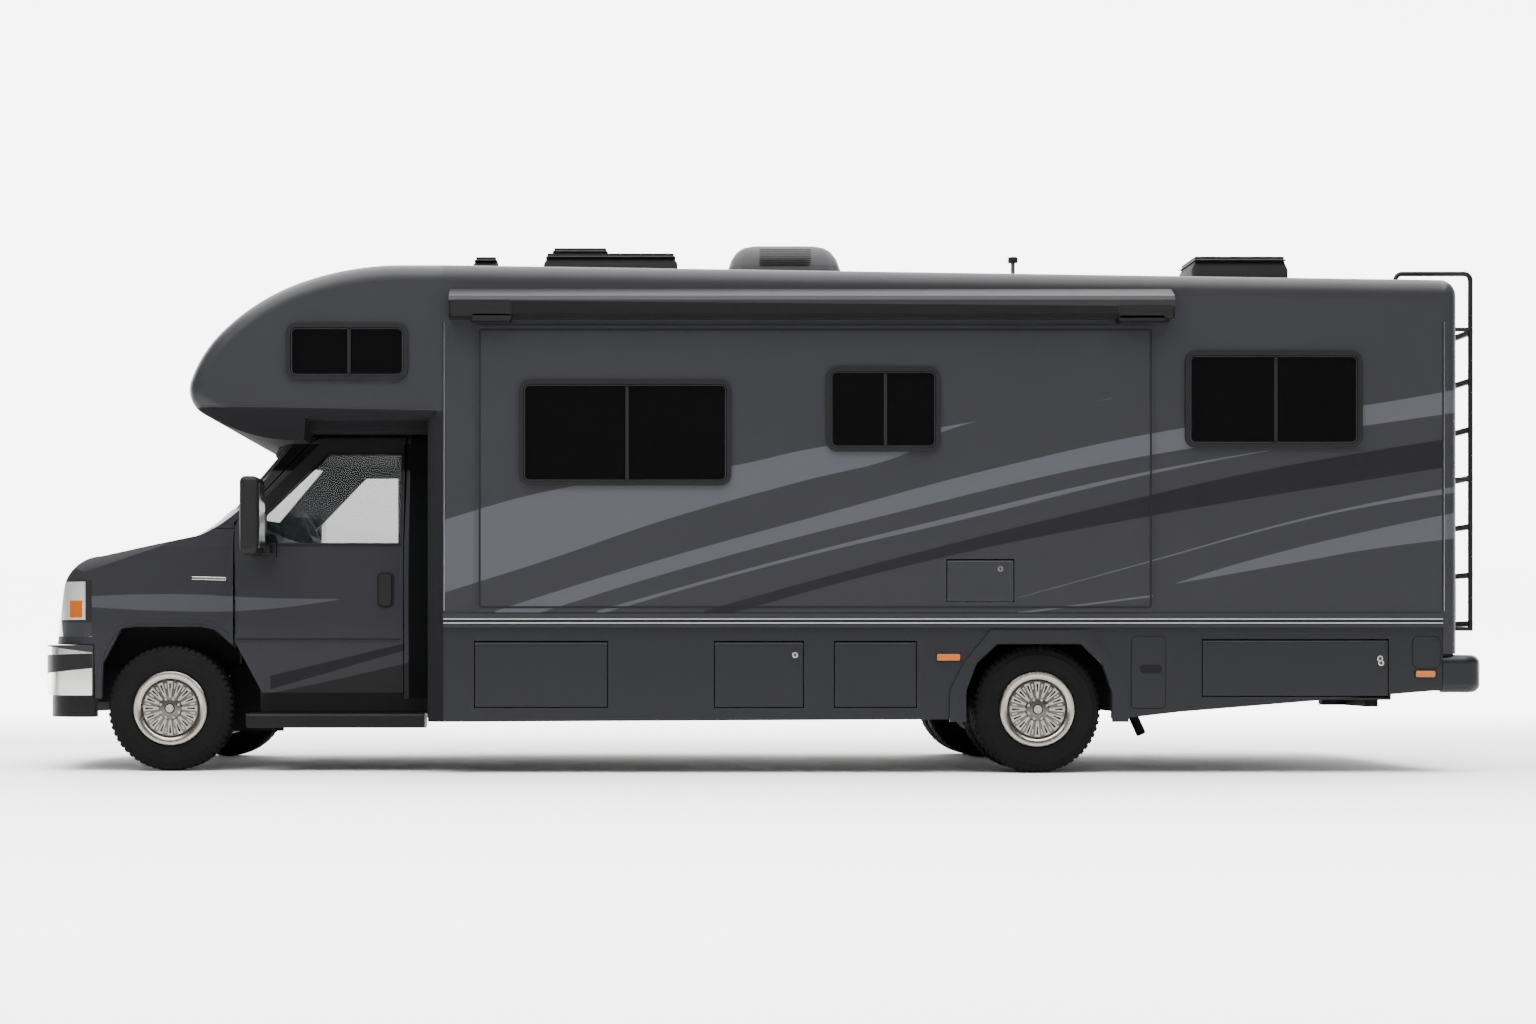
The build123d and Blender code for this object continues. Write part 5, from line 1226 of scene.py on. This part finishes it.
def drape(form, node, outer, lining_and_shade_mask, side, proud):
    """Frame between two outlines, following the surface of a solid."""
    path = ((outer, -seat), (outer, proud), (lining_and_shade_mask, proud), (lining_and_shade_mask, -seat), (outer, -seat))
    loops = [[(x, skin(node, x, z, side) + side * lift, z) for x, z in line] for line, lift in path]
    form.loft(loops, caps=False)


for side_name, side in sides:
    door = f"cab_door_{side_name}"
    lines = Form()
    bead(lines, "fenders", arch_line, side, width=0.020, proud=0.004)
    bead(lines, "fenders", wing_strip, side, width=0.018, proud=0.005, tone=1)
    lines.make(f"wing_lines_{side_name}", (cab_paint, chrome), "coach", "body_paint", bevel=0.002)
    crease = Form()
    # the black strip along the crease is painted shade; the paint-coloured lip below it is a real raised edge
    bead(crease, door, door_crease, side, width=0.006, proud=0.0012, tone=1)
    bead(crease, door, shifted(door_crease, -line_step), side, width=0.008, proud=0.004)
    crease.make(f"door_crease_{side_name}", (cab_paint, chassis_black), door, "body_paint")
    surround = Form()
    drape(surround, door, pane_rim, pane_lip, side, proud=0.003)
    surround.make(f"door_window_frame_{side_name}", (chassis_black,), door, "dark_plastic")
    chin = Form()
    bead(chin, "front_cap", chin_line, side, width=0.007, proud=0.0015)
    # the grey strip just above the chin's dark joint is a painted highlight
    bead(chin, "front_cap", shifted(chin_line, line_step), side, width=0.005, proud=0.002, tone=1)
    chin.make(f"chin_line_{side_name}", (chassis_black, bead_grey), "coach", "dark_plastic")
print("points of the arch line:", len(arch_line), "of the chin line:", len(chin_line))

# %% [markdown]
# ## Roof
# The air conditioner is a domed plastic shroud with louvres in its flanks, vents are low black lids, and
# a short mast stands between them. The shroud could be a subdivided box; a loft of round-cornered
# outlines that draw in as they rise keeps its foot straight and its top soft.

# %% Air conditioner
cooler_rise = (
    # inset, share of the height
    (0.000, 0.00), (0.004, 0.30), (0.016, 0.52), (0.040, 0.72), (0.072, 0.86), (0.110, 0.945), (0.160, 0.99),
    (0.230, 1.00),
)
cooler_xs = (-0.070, 0.672)
cooler_half = 0.35
cooler_corner = 0.10
cooler_sunk = 0.01
louvre_count = 7
louvre_xs = (0.14, 0.46)
louvre_z = 3.135
louvre_pitch = 0.013
louvre_height = 0.004
louvre_shares = (0.972, 0.992)
cooler_low = deck(0.65, 0.0) - cooler_sunk
cooler_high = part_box("air_conditioner")[1][2]
cooler = Form()
cooler.loft([[(x, y, cooler_low + share * (cooler_high - cooler_low))
              for x, y in rounded(cooler_xs[0] + inset, cooler_xs[1] - inset, -cooler_half + inset,
                                  cooler_half - inset, cooler_corner - inset * 0.3)]
             for inset, share in cooler_rise])
for i in range(louvre_count):
    z = louvre_z + i * louvre_pitch
    for y in (-cooler_half, cooler_half):
        cooler.box((louvre_xs[0], y * louvre_shares[0], z),
                   (louvre_xs[1], y * louvre_shares[1], z + louvre_height), tone=1)
cooler.make("roof_cooler", (cooler_case, chassis_black), "coach", "grey_plastic", "air_conditioner")
print("air conditioner:", round(cooler_low, 3), "to", round(cooler_high, 3))

# %% [markdown]
# Vents have a lid that overhangs its base, and the mast is a rod with a foot and a cap. Each lid could be
# a box with a bevel, but moulded lids slope in towards the top, so a lid is a short stack of drawn-in
# outlines with a paler seal near its top edge.

# %% Vents and mast
vent_rows = (
    # x0, x1, y0, y1, top
    (-1.628, -1.463, -0.680, -0.520, 3.110),
    (-1.190, -0.381, -0.780, -0.420, 3.113),
    (-1.150, -0.790, -0.755, -0.445, 3.150),
    (2.722, 3.303, -0.780, -0.420, 3.094),
)
lid_corner = 0.028
seal_inset = 0.012
seal_proud = 0.002
seal_drops = (0.026, 0.020)
seal_corner = 0.020
mast_spot = (1.672, -0.600)


def dome(form, x0, x1, y0, y1, z0, z1, corner, tone=0):
    """Low rounded lid over a rectangle."""
    rise = z1 - z0
    loops = []
    for inset, share in ((0.0, 0.0), (0.0, 0.62), (0.18, 0.86), (0.55, 1.0)):
        give = min(inset * rise, corner * 0.8)
        loops.append([(x, y, z0 + rise * share)
                      for x, y in rounded(x0 + give, x1 - give, y0 + give, y1 - give, corner - give)])
    form.loft(loops, tone)


fittings = Form()
for x0, x1, y0, y1, top in vent_rows:
    base = min(deck(x, (y0 + y1) / 2) for x in (x0, x1)) - seat
    dome(fittings, x0, x1, y0, y1, base, top, lid_corner)
    dome(fittings, x0 + seal_inset, x1 - seal_inset, y0 - seal_proud, y1 + seal_proud, top - seal_drops[0],
         top - seal_drops[1], seal_corner, tone=1)
mast_foot = deck(*mast_spot)
mast_rows = (
    # low, high, radius, tone, sides
    (mast_foot - seat, 3.100, 0.013, 2, 12),
    (mast_foot - seat, mast_foot + 0.010, 0.030, 0, 24),
    (3.086, 3.117, 0.030, 0, 24),
)
for low, high, radius, tone, around in mast_rows:
    fittings.bar((*mast_spot, low), (*mast_spot, high), radius, tone, around)
fittings.make("roof_fittings", (chassis_black, bead_grey, dull_metal), "coach", "dark_plastic", "roof_vents",
              bevel=0.003)
print("roof vents:", len(vent_rows))

# %% [markdown]
# ## Nose and tail
# Wide vehicles carry five clearance lights high on each end, amber in front and red behind. The tail also
# has a blank plate, flat treads on the ladder's rungs and a filler that closes the gap above the bumper.
# All are rounded boxes, and the lights and the plate feel for the curved caps so that each sits flush.

# %% Clearance lights and tail pieces
light_ys = (-0.90, -0.22, 0.0, 0.22, 0.90)
light_half = (0.040, 0.016)
light_depths = (0.030, 0.012)
cap_ray_start = 5.0
light_rows = (
    # end, way towards the coach, lens, height
    ("front", 1, amber_lens, 2.800),
    ("rear", -1, red_lens, 2.700),
)
for end, way, lens_finish, height in light_rows:
    lights = Form()
    for y in light_ys:
        x = touch(f"{end}_cap", (-way * cap_ray_start, y, height), (way, 0, 0)).x
        lights.box((x + way * light_depths[0], y - light_half[0], height - light_half[1]),
                   (x - way * light_depths[1], y + light_half[0], height + light_half[1]), tone=1)
    lights.make(f"clearance_lights_{end}", (black_plastic, lens_finish), "coach", "tail_lens", bevel=0.004)
plate_z = 1.05
plate_x = touch("rear_cap", (cap_ray_start, 0.0, plate_z), (-1, 0, 0)).x
plate_rows = (
    # back, front, half width, z0, z1, tone
    (-seat, 0.006, 0.165, 0.965, 1.135, 0),
    (0.0, 0.009, 0.152, 0.974, 1.126, 1),
)
plate = Form()
for back, front, half, z0, z1, tone in plate_rows:
    plate.box((plate_x + back, -half, z0), (plate_x + front, half, z1), tone)
plate.make("blank_plate", (black_plastic, dull_metal), "coach", "chrome", bevel=0.002)
rung_count = 7
rung_low = 0.872
rung_pitch = 0.285
tread_xs = (4.251, 4.279)
tread_ys = (-1.108, -0.732)
tread_half = 0.016
treads = Form()
for i in range(rung_count):
    z = rung_low + i * rung_pitch
    treads.box((tread_xs[0], tread_ys[0], z - tread_half), (tread_xs[1], tread_ys[1], z + tread_half))
treads.make("ladder_treads", (black_plastic,), "coach", "dark_plastic", bevel=0.004)
filler_corners = ((3.990, -1.225, 0.660), (4.115, 1.225, 0.735))
filler = Form()
filler.box(*filler_corners)
filler.make("bumper_filler", (chassis_black,), "coach", "dark_plastic")
print("clearance lights:", len(light_rows) * len(light_ys), "ladder treads:", rung_count)

# %% [markdown]
# ## Entry door
# The entry door on the right has a small window, a lock plate and a pull bar. The window could be one of
# the row of house windows, but it swings with the door, so the fittings are one piece of their own that
# rides on it.

# %% Entry door fittings
entry_pane = (0.400, 0.760, 1.750, 2.350, 0.050)
entry_frame = 0.024
lock_plate = rounded(0.790, 0.850, 1.480, 1.620, 0.020)
entry_frame_proud = 0.008
lock_plate_proud = 0.006
pull_foot = (0.804, 0.004, 1.520)
pull_head = (0.804, 0.012, 1.590)
pull_radius = 0.007
door_y = skin("entry_door", 0.58, 1.60, 1)
on_door = Vector((0, door_y, 0))
entry_rims = [inset_outline(*entry_pane, inset) for inset in (0.0, entry_frame)]
entry = Form()
entry.ring(*entry_rims, door_y - seat, door_y + entry_frame_proud)
entry.slab(entry_rims[1], door_y - seat, door_y + pane_proud, tone=1)
entry.slab(lock_plate, door_y - seat, door_y + lock_plate_proud)
entry.bar(on_door + Vector(pull_foot), on_door + Vector(pull_head), pull_radius, tone=2)
entry.make("entry_door_fittings", (black_plastic, window_glass, chrome), "entry_door", "glass", bevel=0.002)
print("entry door face at y:", round(door_y, 3))

# %% [markdown]
# ## Camera
# The side is seen square on from about thirteen metres, a little above the hubs. A camera could be turned
# until the picture fits, but then upright edges lean. Here it looks straight across the coach, and a
# shift of the lens moves the picture to where the photograph has its middle.

# %% Side camera
sensor_width = 36.0
photo_width = 1536.0
photo_height = 1024.0
focal_pixels = 2069.0
principal_point = (626.0, 653.0)
camera_spot = Vector((-0.693, -13.25, 0.70))

camera_data = bpy.data.cameras.new("side_camera")
camera_data.sensor_width = sensor_width
camera_data.lens = focal_pixels / photo_width * sensor_width
camera_data.shift_x = (photo_width / 2 - principal_point[0]) / photo_width
camera_data.shift_y = (principal_point[1] - photo_height / 2) / photo_width
camera = bpy.data.objects.new("side_camera", camera_data)
camera.location = camera_spot
camera.rotation_euler = (math.radians(90), 0, 0)
bpy.context.collection.objects.link(camera)
bpy.context.scene.camera = camera
print("lens:", round(camera_data.lens, 2))

# %% [markdown]
# ## Sweep
# A studio hangs a roll of pale paper so that floor and wall meet in a bend without a line. A floor and a
# separate wall would show their corner. One sheet with a bend is made instead, and far behind and in
# front of the coach it glows a little, so that it stays pale where the lights no longer reach.

# %% Pale sweep
sweep_front_y = -70.0
bend_y = 34.0
bend_radius = 6
bend_turns = (0.3, 0.6, 0.9, 1.2, 1.4, math.pi / 2)
wall_top = 60.0
sweep_half = 90.0
floor_gap = 0.0005
far_glow = (7.0, 8.0)
near_glow = (5.0, 6.0)
near_share = 0.35
sweep_section = [(sweep_front_y, 0.0), (bend_y, 0.0)]
sweep_section += [(bend_y + bend_radius * math.sin(a), bend_radius - bend_radius * math.cos(a))
                  for a in bend_turns]
sweep_section += [(bend_y + bend_radius, wall_top)]
count = len(sweep_section)
sheet = Form()
sheet.add([(x, y, z - floor_gap) for x in (-sweep_half, sweep_half) for y, z in sweep_section],
          [(i, i + 1, count + i + 1, count + i) for i in range(count - 1)])
pale = Finish("pale_sweep", Roughness=0.9, Emission_Strength=5.0)
depth = pale.place()[1]
glow = depth.over(*far_glow).either((0 - depth).over(*near_glow) * near_share)
pale.set(Base_Color=pale.mix(pale.noise(scale=0.8), (0.80, 0.80, 0.80), (0.84, 0.84, 0.84)),
         Emission_Color=pale.mix(glow, (0.0, 0.0, 0.0), (1.0, 1.0, 1.0)))
sweep = sheet.shown("sweep", (pale.material,))
print("sweep:", count, "points from floor to wall")

# %% [markdown]
# ## Light
# Cars are lit by very large soft boxes, because paint shows the shape of its light. Many small lamps
# would leave spots in it. One broad box above and a weak key from the front give a long gentle sheen, and
# a faint even sky lifts the shadows.

# %% Lights and sky
soft_lights = (
    # name, place, aimed at, width, height, watts
    ("key", (-7.0, -12.0, 10.0), (0.0, 0.0, 1.4), 9.0, 4.0, 500.0),
    ("top", (0.0, -3.0, 11.0), (0.0, -3.0, 0.0), 20.0, 14.0, 9000.0),
)
sky_strength = 0.15
for name, spot, aim, wide, high, watts in soft_lights:
    lamp = bpy.data.lights.new(name, "AREA")
    lamp.shape = "RECTANGLE"
    lamp.size = wide
    lamp.size_y = high
    lamp.energy = watts
    stand = bpy.data.objects.new(name, lamp)
    stand.location = spot
    stand.rotation_euler = (Vector(aim) - Vector(spot)).to_track_quat("-Z", "Y").to_euler()
    bpy.context.collection.objects.link(stand)
world = bpy.data.worlds.new("studio")
bpy.context.scene.world = world
world.use_nodes = True
sky = world.node_tree.nodes["Background"]
sky.inputs["Color"].default_value = (1, 1, 1, 1)
sky.inputs["Strength"].default_value = sky_strength
print("lights:", len(soft_lights), "sky:", sky_strength)

# %% [markdown]
# ## Sizes at the end
# A dressed coach must stay as large as its solids, or its simulated body would no longer fit its looks.
# The sizes could be compared by eye.
